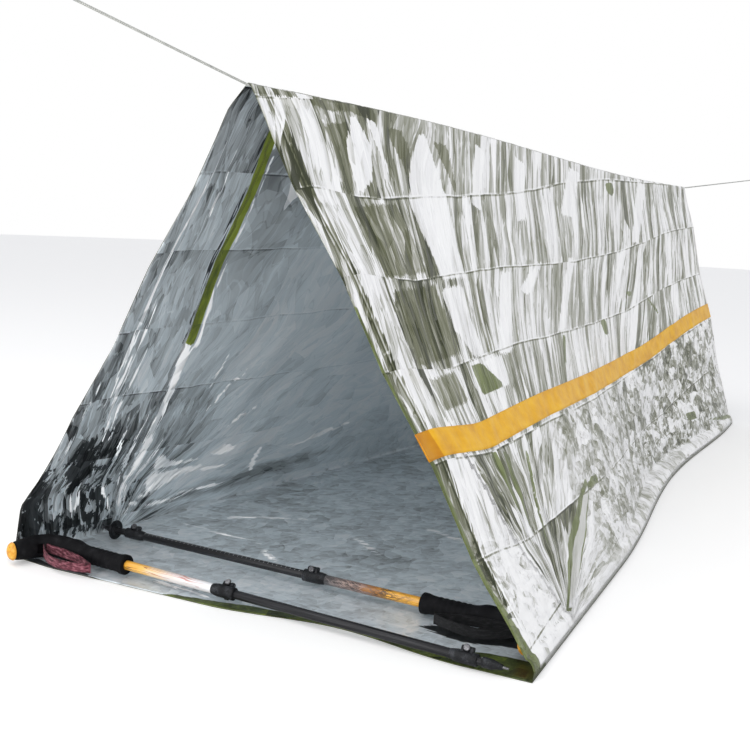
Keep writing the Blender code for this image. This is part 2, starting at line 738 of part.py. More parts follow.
def lock_lever(outer_tube, side):
    """A lever hung on its pin and wrapped round the sleeve. Its origin is on the pin."""
    height = pin_height(outer_tube)
    inner = sleeve_radius(outer_tube) + GAP
    outer = inner + LEVER_THICKNESS
    outline = []
    for degrees in (-95, -140, -180, 140, 100, 60, 22):
        turn = math.radians(degrees)
        outline.append((LEVER_HEAD_RADIUS * math.cos(turn), height + LEVER_HEAD_RADIUS * math.sin(turn)))
    for degrees in range(60, -21, -16):
        turn = math.radians(degrees)
        outline.append((outer * math.cos(turn), outer * math.sin(turn)))
    tip = math.radians(-32)
    outline.append(((outer + 0.0016) * math.cos(tip), (outer + 0.0016) * math.sin(tip)))
    outline.append(((inner + 0.0012) * math.cos(tip), (inner + 0.0012) * math.sin(tip)))
    for degrees in range(-20, 85, 16):
        turn = math.radians(degrees)
        outline.append((inner * math.cos(turn), inner * math.sin(turn)))
    body = mirrored(plate([(y, z - height) for y, z in outline], -LEVER_WIDTH / 2, LEVER_WIDTH / 2), side)
    hole = rod(-LEVER_WIDTH, LEVER_WIDTH, PIN_RADIUS + GAP)
    slot = SCREW_SHAFT_RADIUS + GAP
    reach = LEVER_HEAD_RADIUS + 0.001
    fork = mirrored(block((-slot, -reach, -reach), (slot, slot, reach)), side)
    return combined("lock_lever", body, cut=(hole, fork))


def lock_screw(side):
    """The tension screw: a nut that bears on both knuckles, with its shaft reaching for the pin."""
    face = KNUCKLE_BACK + GAP
    profile = [(-face - SCREW_HEAD, 0), (-face - SCREW_HEAD, SCREW_RADIUS - 0.001),
               (-face - SCREW_HEAD + 0.001, SCREW_RADIUS), (-face, SCREW_RADIUS), (-face, SCREW_SHAFT_RADIUS),
               (-PIN_RADIUS - GAP, SCREW_SHAFT_RADIUS), (-PIN_RADIUS - GAP, 0)]
    bm = turned(profile, SMALL_SIDES)
    bmesh.ops.rotate(bm, verts=bm.verts, matrix=Matrix.Rotation(math.pi / 2, 3, "Z"))
    return mesh_from(mirrored(bm, side), "lock_screw")


def ferrule_mesh():
    """A plastic point pressed over the tube's end, with a socket for the hard tip."""
    sleeve = LOWER_RADIUS + GAP
    shoulder = FERRULE_OVERLAP
    profile = [(0, sleeve), (shoulder + GAP, sleeve), (shoulder + GAP, TIP_RADIUS + GAP),
               (FERRULE_LENGTH, TIP_RADIUS + GAP), (FERRULE_LENGTH, 0.0042), (shoulder + 0.004, 0.0070),
               (shoulder, FERRULE_RADIUS), (0.0025, FERRULE_RADIUS), (0, FERRULE_RADIUS - 0.0007)]
    return mesh_from(turned(profile, 16, closed=True), "ferrule")


def basket_mesh():
    inner = FERRULE_RADIUS + GAP
    half = BASKET_THICKNESS / 2
    profile = [(-half * 1.6, inner), (half * 1.6, inner), (half * 1.6, inner + 0.002), (half * 0.6, inner + 0.003),
               (half * 0.6, BASKET_RADIUS - 0.003), (half, BASKET_RADIUS - 0.001), (0, BASKET_RADIUS),
               (-half, BASKET_RADIUS - 0.001), (-half * 0.6, BASKET_RADIUS - 0.003),
               (-half * 0.6, inner + 0.003), (-half * 1.6, inner + 0.002)]
    return mesh_from(turned(profile, 20, closed=True), "basket")


def tip_mesh():
    start = -TIP_LENGTH + TIP_SHOWING
    profile = [(start, 0), (start, TIP_RADIUS), (TIP_SHOWING - 0.001, TIP_RADIUS),
               (TIP_SHOWING, TIP_RADIUS - 0.0008), (TIP_SHOWING - 0.0008, 0)]
    return mesh_from(turned(profile, SMALL_SIDES), "carbide_tip")


def at(x, y=0.0, z=0.0):
    return Matrix.Translation((x, y, z))


def lock(prefix, start, roll, side, outer_tube, inner_tube, parent, plastic, steel):
    """One clamp of four pieces, turned by roll about the pole."""
    frame = empty(prefix + "_frame", at(start) @ Matrix.Rotation(roll, 4, "X"), parent)
    height = pin_height(outer_tube)
    middle = lever_middle()
    put(prefix + "_sleeve", lock_sleeve(outer_tube, inner_tube, side), plastic, frame)
    put(prefix + "_lever", lock_lever(outer_tube, side), plastic, frame, at(middle, 0, height))
    reach = LEVER_WIDTH / 2 + GAP + KNUCKLE_WIDTH
    put(prefix + "_pin", mesh_from(rod(-reach, reach, PIN_RADIUS), prefix + "_pin"), steel, frame,
        at(middle, 0, height))
    put(prefix + "_screw", lock_screw(side), steel, frame, at(middle, 0, height))


def pole(prefix, head, heading, side, out, rolls, far_radius, basket, looks):
    """A whole pole along X from its head, resting on its grip and on the last ring before its tip."""
    middle_end = UPPER_TUBE_END + out[0]
    lower_end = middle_end + out[1]
    far_height = FILM_THICKNESS + GAP + far_radius
    tilt = math.atan2(HAND_HEIGHT - far_height, middle_end - HAND_REST)
    lie = Matrix.Rotation(heading, 4, "Z") @ Matrix.Rotation(tilt, 4, "Y")
    head_height = HAND_HEIGHT + HAND_REST * math.tan(tilt)
    place = Matrix.Translation((head[0], FRONT_Y + head[1], head_height)) @ lie
    frame = empty(prefix + "_frame", place)
    put(prefix + "_grip", grip(side), looks["foam"], frame)
    put(prefix + "_grip_cap", grip_cap(side), looks["cap"], frame)
    pin_place = at(*strap_pin_place(side))
    half = STRAP_PIN_LENGTH / 2
    pin = rod(-half, half, PIN_RADIUS)
    bmesh.ops.rotate(pin, verts=pin.verts, matrix=Matrix.Rotation(math.pi / 2, 3, "Y"))
    put(prefix + "_strap_pin", mesh_from(pin, prefix + "_strap_pin"), looks["steel"], frame, pin_place)
    put(prefix + "_wrist_strap", wrist_strap(side), looks["strap"], frame, pin_place)

    upper = pipe(UPPER_TUBE_START, UPPER_TUBE_END, UPPER_RADIUS, UPPER_RADIUS - TUBE_WALL)
    put(prefix + "_upper_tube", mesh_from(upper, prefix + "_upper_tube"), looks["upper"], frame)
    lock_start = UPPER_TUBE_END - LOCK_LENGTH + LOCK_LIP
    lock(prefix + "_upper_lock", lock_start, rolls[0], side, UPPER_RADIUS, MIDDLE_RADIUS, frame,
         looks["plastic"], looks["steel"])

    middle = pipe(middle_end - MIDDLE_LENGTH, middle_end, MIDDLE_RADIUS, MIDDLE_RADIUS - TUBE_WALL)
    put(prefix + "_middle_tube", mesh_from(middle, prefix + "_middle_tube"), looks["middle"], frame)
    lock_start = middle_end - LOCK_LENGTH + LOCK_LIP
    lock(prefix + "_lower_lock", lock_start, rolls[1], side, MIDDLE_RADIUS, LOWER_RADIUS, frame,
         looks["plastic"], looks["steel"])

    lower = pipe(lower_end - LOWER_LENGTH, lower_end, LOWER_RADIUS, LOWER_RADIUS - TUBE_WALL)
    put(prefix + "_lower_tube", mesh_from(lower, prefix + "_lower_tube"), looks["middle"], frame)
    ferrule_start = lower_end - FERRULE_OVERLAP
    put(prefix + "_ferrule", ferrule_mesh(), looks["plastic"], frame, at(ferrule_start))
    if basket:
        put(prefix + "_basket", basket_mesh(), looks["plastic"], frame, at(ferrule_start + FERRULE_OVERLAP * 0.4))
    put(prefix + "_carbide_tip", tip_mesh(), looks["steel"], frame, at(ferrule_start + FERRULE_LENGTH))
    return frame


def build():
    clear_scene()
    film = material("film", SILVER, 0.18, 1.0)
    tape = material("tape", TAPE_ORANGE, 0.45, 0.0)
    line = material("cord", CORD_GREY, 0.8, 0.0)
    looks = {
        "foam": material("grip_foam", FOAM_BLACK, 0.85, 0.0),
        "cap": material("grip_cap", CAP_ORANGE, 0.4, 0.0),
        "upper": material("tube_yellow", TUBE_YELLOW, 0.3, 0.0),
        "middle": material("tube_black", TUBE_BLACK, 0.3, 0.6),
        "plastic": material("lock_plastic", LOCK_BLACK, 0.5, 0.0),
        "steel": material("steel", STEEL, 0.3, 1.0),
        "strap": material("strap_red", STRAP_RED, 0.8, 0.0),
    }
    film_tube(film)
    orange_band(tape)
    cords(line)
    lever_reach = sleeve_radius(MIDDLE_RADIUS) + GAP + LEVER_THICKNESS + 0.0016
    pole("front_pole", FRONT_POLE_HEAD, FRONT_POLE_HEADING, -1, (FRONT_MIDDLE_OUT, FRONT_LOWER_OUT),
         FRONT_LOCK_ROLLS, lever_reach, False, looks)
    rear_looks = dict(looks, strap=material("strap_black", STRAP_BLACK, 0.8, 0.0))
    pole("rear_pole", REAR_POLE_HEAD, REAR_POLE_HEADING, 1, (REAR_MIDDLE_OUT, REAR_LOWER_OUT),
         REAR_LOCK_ROLLS, BASKET_RADIUS, True, rear_looks)


build()
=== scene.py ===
"""The emergency tent as it looks when pitched: crinkled silvery film, orange tape, a cord and two poles.

Metres, +Z up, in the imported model's frame, with the mouth at -Y.
"""
import math

import bmesh
import bpy
import numpy as np
from mathutils import Matrix, Vector


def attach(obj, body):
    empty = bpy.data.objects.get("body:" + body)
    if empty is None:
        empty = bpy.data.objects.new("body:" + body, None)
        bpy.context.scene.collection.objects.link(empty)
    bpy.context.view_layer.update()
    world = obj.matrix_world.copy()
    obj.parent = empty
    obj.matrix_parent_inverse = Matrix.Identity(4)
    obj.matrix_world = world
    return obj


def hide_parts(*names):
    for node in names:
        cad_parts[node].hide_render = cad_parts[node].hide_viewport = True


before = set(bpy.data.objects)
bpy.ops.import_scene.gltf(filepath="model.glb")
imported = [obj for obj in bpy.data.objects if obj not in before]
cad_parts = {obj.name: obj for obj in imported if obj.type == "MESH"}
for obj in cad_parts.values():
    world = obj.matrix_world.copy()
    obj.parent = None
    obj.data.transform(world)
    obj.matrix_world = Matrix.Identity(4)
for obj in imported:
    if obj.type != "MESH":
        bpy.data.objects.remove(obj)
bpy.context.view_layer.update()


# Camera and studio
# The tent stands on a plain pale floor in soft light from above, seen from low down in front
# and to the right of its mouth.

CAMERA_PLACE = Vector((0.928, -2.692, 0.712))
CAMERA_YAW = math.radians(24.756)
CAMERA_PITCH = math.radians(9.175)
CAMERA_ROLL = math.radians(2.784)
CAMERA_VIEW = math.radians(38.805)
DOME_COLOUR = (0.93, 0.95, 1.0, 1)
DOME_STRENGTH = 0.72
WHITE = (1, 1, 1, 1)
FLOOR_COLOUR = (0.95, 0.94, 0.92)
FLOOR_GLOW = 0.17
FLOOR_RADIUS = 14
FLOOR_DROP = 0.0004
# name, place, what it points at, width, watts
LAMPS = (("overhead", (-1.8, -2.6, 4.2), (0.1, 0.0, 0.2), 3.2, 60),
         ("mouth_side", (2.4, -3.6, 2.2), (0.1, -0.4, 0.3), 2.4, 22),
         ("into_mouth", (-0.4, -4.4, 1.0), (0.0, -0.4, 0.3), 2.6, 60))

scene = bpy.context.scene
back = Vector((math.sin(CAMERA_YAW) * math.cos(CAMERA_PITCH),
               -math.cos(CAMERA_YAW) * math.cos(CAMERA_PITCH),
               math.sin(CAMERA_PITCH)))
level_right = (-back).cross(Vector((0, 0, 1))).normalized()
level_up = level_right.cross(-back)
right = math.cos(CAMERA_ROLL) * level_right + math.sin(CAMERA_ROLL) * level_up
up = -math.sin(CAMERA_ROLL) * level_right + math.cos(CAMERA_ROLL) * level_up
camera_data = bpy.data.cameras.new("camera")
camera_data.sensor_fit = "HORIZONTAL"
camera_data.angle = CAMERA_VIEW
camera_data.clip_end = 60
camera = bpy.data.objects.new("camera", camera_data)
camera.matrix_world = Matrix.Translation(CAMERA_PLACE) @ Matrix((right, up, back)).transposed().to_4x4()
scene.collection.objects.link(camera)
scene.camera = camera
scene.view_settings.view_transform = "Standard"

# The material or the sky that nodes are being added to
at_hand = {}


def node(kind, inputs, **settings):
    """A node with its settings, and each input given as a value or as another node's output."""
    made = at_hand["tree"].nodes.new("ShaderNode" + kind)
    for name, value in settings.items():
        setattr(made, name, value)
    for name, value in inputs.items():
        if isinstance(value, bpy.types.NodeSocket):
            join(value, made.inputs[name])
        else:
            made.inputs[name].default_value = value
    return made.outputs


def join(source, socket):
    """Lets one node's output drive a socket."""
    at_hand["tree"].links.new(source, socket)


def math_node(operation, *values, **settings):
    """One operation on numbers or on other nodes' outputs."""
    return node("Math", dict(enumerate(values)), operation=operation, **settings)[0]


def new_finish(name, colour, roughness, metallic=0.0, more=None):
    """A material, taken to hand, and its shader's sockets with their plain values."""
    made = bpy.data.materials.new(name)
    made.use_nodes = True
    at_hand["tree"] = made.node_tree
    sockets = made.node_tree.nodes["Principled BSDF"].inputs
    plain = {"Base Color": (*colour, 1), "Roughness": roughness, "Metallic": metallic, **(more or {})}
    for socket, value in plain.items():
        sockets[socket].default_value = value
    return made, sockets


def mesh_from(bm, name, sharp_from=None):
    """A bmesh as mesh data, smooth but for the edges that turn by more than an angle."""
    data = bpy.data.meshes.new(name)
    bm.to_mesh(data)
    bm.free()
    if sharp_from:
        data.shade_smooth()
        data.set_sharp_from_angle(angle=math.radians(sharp_from))
    return data


world = bpy.data.worlds.new("sky")
world.use_nodes = True
scene.world = world
at_hand["tree"] = world.node_tree
world.node_tree.nodes.clear()
ray = node("LightPath", {})
seen = math_node("MAXIMUM", ray["Is Camera Ray"], ray["Is Glossy Ray"])
seen = math_node("MAXIMUM", seen, ray["Is Transmission Ray"])
dome = node("Background", {"Color": DOME_COLOUR, "Strength": DOME_STRENGTH})
white = node("Background", {"Color": WHITE, "Strength": 1.0})
chosen = node("MixShader", {0: seen, 1: dome[0], 2: white[0]})
node("OutputWorld", {"Surface": chosen[0]})

floor_mesh = bmesh.new()
bmesh.ops.create_circle(floor_mesh, cap_ends=True, segments=96, radius=FLOOR_RADIUS)
floor = bpy.data.objects.new("studio_floor", mesh_from(floor_mesh, "studio_floor"))
floor.location.z = -FLOOR_DROP
scene.collection.objects.link(floor)
floor_finish, sockets = new_finish("studio_floor", FLOOR_COLOUR, 0.9, more={"Emission Color": WHITE})
join(math_node("MULTIPLY", node("LightPath", {})["Is Camera Ray"], FLOOR_GLOW), sockets["Emission Strength"])
floor.data.materials.append(floor_finish)

for lamp_name, lamp_place, aim, width, watts in LAMPS:
    lamp_data = bpy.data.lights.new(lamp_name, "AREA")
    lamp_data.size = width
    lamp_data.energy = watts
    lamp = bpy.data.objects.new(lamp_name, lamp_data)
    lamp.location = lamp_place
    lamp.rotation_euler = (Vector(aim) - Vector(lamp_place)).to_track_quat("-Z", "Y").to_euler()
    scene.collection.objects.link(lamp)


# Guy cord
# One thin braided cord runs through the whole ridge. Its two free ends are pulled tight to
# whatever holds the tent up, and each ends in a wrapped knot and a loop.

CORD_THICKNESS = 0.004
CORD_CLEAR = 0.0003
# which end, where it leaves the film, its heading and rise, its length, and its places on the way
CORDS = (("front", Vector((-0.0200, -1.1780, 0.8899)), Vector((-0.12708, -1.0, 0.0)), 0.186, 0.432, 24),
         ("rear", Vector((0.2850, 1.2220, 0.8159)), Vector((0.12708, 1.0, 0.0)), 0.071, 1.22, 40))
KNOT_LENGTH = 0.016
KNOT_TURNS = 4
TURN_STEPS = 14
LOOP_LENGTH = 0.060
LOOP_WIDTH = 0.032
LOOP_STEPS = 48


def own_place():
    """Where a spot is on its own piece."""
    return node("TexCoord", {})["Object"]


def noise(place, scale, detail, roughness=0.5):
    """Soft grain, from 0 to 1."""
    inputs = {"Vector": place, "Scale": scale, "Detail": detail, "Roughness": roughness}
    return node("TexNoise", inputs)["Fac"]


def ramp(factor, stops):
    """A colour for each place along 0 to 1, from rows of a place and its red, green and blue."""
    colours = node("ValToRGB", {"Fac": factor})
    elements = at_hand["tree"].nodes[-1].color_ramp.elements
    elements.remove(elements[1])
    for index, (place, *colour) in enumerate(stops):
        stop = elements[0] if index == 0 else elements.new(place)
        stop.position = place
        stop.color = (*colour, 1)
    return colours["Color"]


def paint(sockets, pattern, stops):
    """Colours the surface by a pattern."""
    join(ramp(pattern, stops), sockets["Base Color"])


def bump(sockets, height, distance, under=None):
    """Fine relief under the shader's normal."""
    inputs = {"Height": height, "Distance": distance}
    if under is not None:
        inputs["Normal"] = under
    join(node("Bump", inputs)["Normal"], sockets["Normal"])


def add_piece(name, data, finish, body, stands_for):
    """Links a finished shape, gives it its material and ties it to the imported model."""
    data.materials.append(finish)
    made = bpy.data.objects.new(name, data)
    scene.collection.objects.link(made)
    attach(made, body)
    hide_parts(stands_for)
    return made


def refinish(packed, finish):
    """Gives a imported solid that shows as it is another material."""
    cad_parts[packed].data.materials.clear()
    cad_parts[packed].data.materials.append(finish)


def cord_curve(name, spots, thickness, stands_for):
    """A cord through a list of places."""
    curve = bpy.data.curves.new(name, "CURVE")
    curve.dimensions = "3D"
    spline = curve.splines.new("POLY")
    spline.points.add(len(spots) - 1)
    for point, spot in zip(spline.points, spots):
        point.co = (*spot, 1)
    curve.bevel_depth = thickness / 2
    curve.bevel_resolution = 4
    curve.use_fill_caps = True
    return add_piece(name, curve, cord_finish, "tent", stands_for)


cord_finish, sockets = new_finish("braided_cord", (0.72, 0.72, 0.66), 0.75, more={"Sheen Weight": 0.3})
cord_place = own_place()
strands = []
for slant in (1.0, -1.0):
    turned = node("Mapping", {"Vector": cord_place, "Rotation": (slant * 0.6, 0, slant * 0.7)})
    wave = {"Vector": turned[0], "Scale": 190.0, "Distortion": 0.6}
    strands.append(node("TexWave", wave, bands_direction="Y")["Fac"])
braid = math_node("MAXIMUM", *strands)
fleck = math_node("MULTIPLY", braid, noise(cord_place, 45.0, 4.0))
paint(sockets, fleck, ((0.15, 0.34, 0.35, 0.33), (0.45, 0.62, 0.62, 0.57), (0.75, 0.80, 0.80, 0.75)))
bump(sockets, braid, 0.0006)
refinish("ridge_cord", cord_finish)

for end, start, heading, rise, length, spot_count in CORDS:
    run = (heading + Vector((0, 0, rise * heading.length))).normalized()
    across = Vector((-run.y, run.x, 0)).normalized()
    above = run.cross(across)
    exit_place = start + run * CORD_CLEAR
    route = [exit_place.lerp(start + run * length, k / (spot_count - 1)) for k in range(spot_count)]
    stretch = cord_curve(end + "_guy_cord_line", route, CORD_THICKNESS, end + "_guy_cord")

    knot_start = start + run * (length + CORD_CLEAR)
    coils = []
    for k in range(KNOT_TURNS * TURN_STEPS + 1):
        part = k / (KNOT_TURNS * TURN_STEPS)
        turn = math.tau * KNOT_TURNS * part
        coil_radius = CORD_THICKNESS * (0.86 + 0.10 * math.sin(math.pi * part))
        coils.append(knot_start + run * (0.002 + (KNOT_LENGTH - 0.004) * part)
                     + across * coil_radius * math.cos(turn) + above * coil_radius * math.sin(turn))
    knot = cord_curve(end + "_knot_wraps", coils, CORD_THICKNESS * 0.84, end + "_end_knot")

    loop_start = knot_start + run * (KNOT_LENGTH + CORD_CLEAR)
    spots = []
    for k in range(LOOP_STEPS + 1):
        angle = math.tau * k / LOOP_STEPS
        along = LOOP_LENGTH * (1 - math.cos(angle)) / 2
        swell = math.sin(angle) * (0.35 + 0.65 * math.sin(angle / 2) ** 2)
        spots.append(loop_start + run * along + above * (LOOP_WIDTH / 2) * swell)
    loop = cord_curve(end + "_loop_line", spots, CORD_THICKNESS, end + "_end_loop")


# Film tube
# One sheet of metallised film makes both walls and the floor, welded into a tube. It is hung on the
# cord, keeps the creases of its packing, and is pulled into long diagonal gathers by its own weight.

TENT_LENGTH = 2.40
REAR_Y = CORDS[1][1].y
MOUTH_Y = REAR_Y - TENT_LENGTH
FILM_WALL = 0.0010
MOUTH_HALF_WIDTH = 0.525
REAR_LEFT_X = -0.05
REAR_RIGHT_X = 0.530
MOUTH_RIDGE = (CORDS[0][1].x, 0.894)
REAR_RIDGE = (CORDS[1][1].x, 0.820)
RIDGE_RADIUS = 0.0041
RIDGE_WAVE = 0.009
EDGE_BOW = 0.044
BOW_START = 0.60
BOW_LENGTH = 1.75
SKIRT_HEIGHT = 0.030
SKIRT_INSET = 0.030
SKIRT_LEAST_INSET = 0.016
HEM_WIDTH = 0.070
HEM_TURN = 0.006
LIP_BULGE = 0.013
LIP_SCALLOP = 0.031
LIP_SCALLOP_X = 0.170
LIP_SCALLOP_HALF = 0.240
LEFT_SPREAD = 0.023
LEFT_SPREAD_LENGTH = 1.10
LEFT_BULGE = 0.018
LEFT_BULGE_UP = 0.10
LEFT_BULGE_HEIGHT = 0.12
SLACK_SETTLE = 0.028
SLACK_SETTLE_LENGTH = 0.25
SLACK_DIP = 0.032
SLACK_DIP_START = 0.50
SLACK_DIP_LENGTH = 1.70
SLACK_RISE = 0.045
SLACK_RISE_START = 1.50
PACK_FOLD = 0.165
FOLD_DEPTH = 0.004
GATHER_DEPTH = 0.0052
GATHER_HEIGHT = 0.78
CRUMPLE_DEPTH = 0.0018
FLOOR_RIPPLE = 0.0055
TAPE_LOW = 0.366
TAPE_HIGH = 0.415
# Columns of the sheet: across the floor, up the skirt, up the right wall, over the ridge, down the left
COLUMNS = (56, 4, 108, 8, 78)
MOUTH_ROWS = 40
MOUTH_ROWS_LENGTH = 0.28
FAR_ROWS = 150


def grown(distance, length):
    """0 at the start and 1 from one length on."""
    return np.clip(distance / length, 0, 1)


def between(place, end, near, far):
    """1 between two ends, falling to 0 over a length at each."""
    return grown(place, near) * grown(end - place, far)


def eased(part):
    held = np.clip(part, 0, 1)
    return held * held * (3 - 2 * held)


def slack(a):
    """How far the creases and the tape are drawn up or down the right wall, by distance from the mouth."""
    dip = grown(a - SLACK_DIP_START, SLACK_DIP_LENGTH)
    lowered = SLACK_SETTLE * eased(a / SLACK_SETTLE_LENGTH) + SLACK_DIP * np.sin(np.pi * dip) ** 2
    return SLACK_RISE * eased((a - SLACK_RISE_START) / (TENT_LENGTH - SLACK_RISE_START)) - lowered


def lattice(p, q, seed):
    """Random heights on a unit grid, joined by flat three-sided facets, from -1 to 1."""
    wide, tall = 97, 89
    table = np.random.default_rng(seed).uniform(-1, 1, (wide, tall))
    i, j = np.floor(p).astype(int), np.floor(q).astype(int)
    u, v = p - i, q - j
    here, beyond = table[i % wide, j % tall], table[(i + 1) % wide, (j + 1) % tall]
    beside, above = table[(i + 1) % wide, j % tall], table[i % wide, (j + 1) % tall]
    lower = here + u * (beside - here) + v * (beyond - beside)
    upper = here + v * (above - here) + u * (beyond - above)
    return np.where(u > v, lower, upper)


def streak_lean(a):
    """How far a gather on the right wall leans back from the mouth for each metre up."""
    leaning = 0.2 + 0.8 * eased((a - 0.05) / 0.70)
    return leaning - 0.45 * eased((a - 1.4) / 0.5) - 0.25 * eased((a - 1.9) / 0.3)


def ridge_line(a):
    """The straight line from the mouth's peak to the rear one."""
    part = a / TENT_LENGTH
    return [first + (last - first) * part for first, last in zip(MOUTH_RIDGE, REAR_RIDGE)]


def ridge_centre(a):
    """The middle of the cord under the film, with its slight wave."""
    x, z = ridge_line(a)
    return x, z - RIDGE_RADIUS + RIDGE_WAVE * np.sin(math.tau * (a / TENT_LENGTH))


def wall_face(foot_x, foot_z, outward, y, up_share):
    """Where one wall's face is at a share of its height, and that height before and after its slack."""
    a = y - MOUTH_Y
    ridge_x, ridge_z = ridge_centre(a)
    lean_x, lean_z = ridge_x - foot_x, ridge_z - foot_z
    size = np.hypot(lean_x, lean_z)
    normal_x, normal_z = lean_z / size * outward, -lean_x / size * outward
    end_x, end_z = ridge_x + normal_x * RIDGE_RADIUS, ridge_z + normal_z * RIDGE_RADIUS
    top = np.hypot(end_x - foot_x, end_z - foot_z)
    rise_x, rise_z = (end_x - foot_x) / top, (end_z - foot_z) / top
    run = up_share * top
    calm = between(run, top, 0.12, 0.10)
    crease = FOLD_DEPTH * (2 * np.abs((run / PACK_FOLD / 2) % 1 - 0.5) - 0.5) * 2
    lean = streak_lean(a) if outward > 0 else 0.25 + 0.3 * eased(a / 0.8)
    across = a - lean * (run - GATHER_HEIGHT)
    gather = lattice(across / 0.055 + 300, run / 0.30 + 40, 11 + outward) * 0.6
    gather = gather + lattice(across / 0.021 + 500, run / 0.16 + 90, 21 + outward) * 0.3
    crumple = lattice(a / 0.030 + 200, run / 0.027 + 200, 31 + outward)
    low = np.clip((0.40 - run) / 0.10, 0, 1)
    folds = GATHER_DEPTH * gather + CRUMPLE_DEPTH * crumple * (0.35 + 0.65 * low)
    out = calm * (crease + between(a, TENT_LENGTH, 0.15, 0.10) * folds)
    out = out - calm * HEM_TURN * (1 - eased((a - HEM_WIDTH * 0.35) / 0.02))
    place = run
    if outward > 0:
        place = run + slack(a) * between(run, top, PACK_FOLD, PACK_FOLD)
    else:
        fade = np.clip(1 - a / LEFT_SPREAD_LENGTH, 0, 1) ** 1.5
        pushed = np.exp(-((run - LEFT_BULGE_UP) / LEFT_BULGE_HEIGHT) ** 2)
        spread = LEFT_SPREAD * (1 - 0.5 * run / top) + LEFT_BULGE * pushed
        out = out + fade * between(run, top, 0.10, 0.05) * spread
    return foot_x + rise_x * place + normal_x * out, foot_z + rise_z * place + normal_z * out, run, place


def edges_at(a):
    """The right and the left ground edge of the tube, and the top of the skirt, at one distance."""
    part = a / TENT_LENGTH
    bow = np.sin(np.pi * grown(a - BOW_START, BOW_LENGTH)) ** 2
    edge = MOUTH_HALF_WIDTH + (REAR_RIGHT_X - MOUTH_HALF_WIDTH) * part - EDGE_BOW * bow
    left = -MOUTH_HALF_WIDTH + (REAR_LEFT_X + MOUTH_HALF_WIDTH) * part
    return edge, left, edge - SKIRT_LEAST_INSET - SKIRT_INSET * bow


def film_places(column, y):
    """Where the sheet's outer face is, for its column and its distance along the tent."""
    a = y - MOUTH_Y
    edge, left, foot = edges_at(a)
    shares = [np.clip((column - start) / count, 0, 1) for start, count in zip(region_starts, COLUMNS)]
    on_floor, below_wall = column <= region_starts[1], column < region_starts[2]
    below_ridge, below_left = column <= region_starts[3], column < region_starts[4]

    floor_x = left + (edge - left) * shares[0]
    lip = LIP_BULGE * np.clip((floor_x + MOUTH_HALF_WIDTH) / 0.10, 0, 1)
    dent = (floor_x - LIP_SCALLOP_X) / LIP_SCALLOP_HALF
    lip = lip - np.where(np.abs(dent) < 1, LIP_SCALLOP * np.cos(np.pi * dent / 2) ** 2, 0)
    lip = lip * np.clip(1 - a / HEM_WIDTH, 0, 1)
    ripple = 0.5 + 0.5 * lattice(floor_x / 0.045 + 100, (a + 0.3 * floor_x) / 0.13 + 60, 5)
    far = eased((a - 0.22) / 0.3)
    floor_z = between(shares[0], 1, 0.06, 0.06) * ripple * (0.0004 + FLOOR_RIPPLE * far)

    quarter = shares[1] * np.pi / 2
    skirt_x = edge + (foot - edge) * (1 - np.cos(quarter))
    skirt_z = SKIRT_HEIGHT * np.sin(quarter)
    right_x, right_z, right_run, right_drawn = wall_face(foot, SKIRT_HEIGHT, 1, y, shares[2])
    left_x, left_z, left_run, _ = wall_face(left, 0.0, -1, y, 1 - shares[4])

    right_top = wall_face(foot, SKIRT_HEIGHT, 1, y, np.ones_like(y))
    left_top = wall_face(left, 0.0, -1, y, np.ones_like(y))
    ridge_x, ridge_z = ridge_centre(a)
    first = np.arctan2(right_top[1] - ridge_z, right_top[0] - ridge_x)
    last = np.arctan2(left_top[1] - ridge_z, left_top[0] - ridge_x)
    turn = first + (last - first) * shares[3]
    over_x, over_z = ridge_x + RIDGE_RADIUS * np.cos(turn), ridge_z + RIDGE_RADIUS * np.sin(turn)

    regions = (on_floor, below_wall, below_ridge, below_left)
    x = np.select(regions, (floor_x, skirt_x, right_x, over_x), left_x)
    z = np.select(regions, (floor_z, skirt_z, right_z, over_z), left_z)
    runs = (floor_x - left, shares[1] * SKIRT_HEIGHT, right_run + SKIRT_HEIGHT, right_top[2] + SKIRT_HEIGHT)
    run = np.select(regions, runs, left_run)
    drawn = np.where(below_ridge & ~below_wall, right_drawn + SKIRT_HEIGHT, run)
    return x, np.where(on_floor, y - lip, y), z, run, drawn


def grid_sheet(name, columns, rows):
    """A flat sheet as mesh data, with the column and the row of each of its corners."""
    bm = bmesh.new()
    bmesh.ops.create_grid(bm, x_segments=columns, y_segments=rows, size=0.5)
    data = mesh_from(bm, name)
    places = np.zeros(len(data.vertices) * 3)
    data.vertices.foreach_get("co", places)
    places = places.reshape(-1, 3) + 0.5
    return data, np.rint(places[:, 0] * columns), np.rint(places[:, 1] * rows).astype(int)


def lay_sheet(data, x, y, z, **layers):
    """Moves a flat sheet's corners to their places, and keeps where they were on it as UV maps."""
    data.vertices.foreach_set("co", np.stack([x, y, z], axis=1).ravel())
    vertex = np.zeros(len(data.loops), int)
    data.loops.foreach_get("vertex_index", vertex)
    for layer, (along, upward) in layers.items():
        pairs = np.stack([along[vertex], upward[vertex]], axis=1)
        data.uv_layers.new(name=layer).uv.foreach_set("vector", pairs.astype(np.float32).ravel())


def add_wall(made, thickness, offset):
    """Gives a sheet its thickness."""
    wall = made.modifiers.new("Wall", "SOLIDIFY")
    wall.thickness = thickness
    wall.offset = offset
    return wall


region_starts = np.cumsum((0,) + COLUMNS)
row_places = np.concatenate([np.linspace(0, MOUTH_ROWS_LENGTH, MOUTH_ROWS, endpoint=False),
                             np.linspace(MOUTH_ROWS_LENGTH, TENT_LENGTH, FAR_ROWS)])
film_data, film_column, film_row = grid_sheet("silver_film", sum(COLUMNS), len(row_places) - 1)
film_a = row_places[film_row]
film_x, film_y, film_z, film_run, film_s = film_places(film_column, film_a + MOUTH_Y)

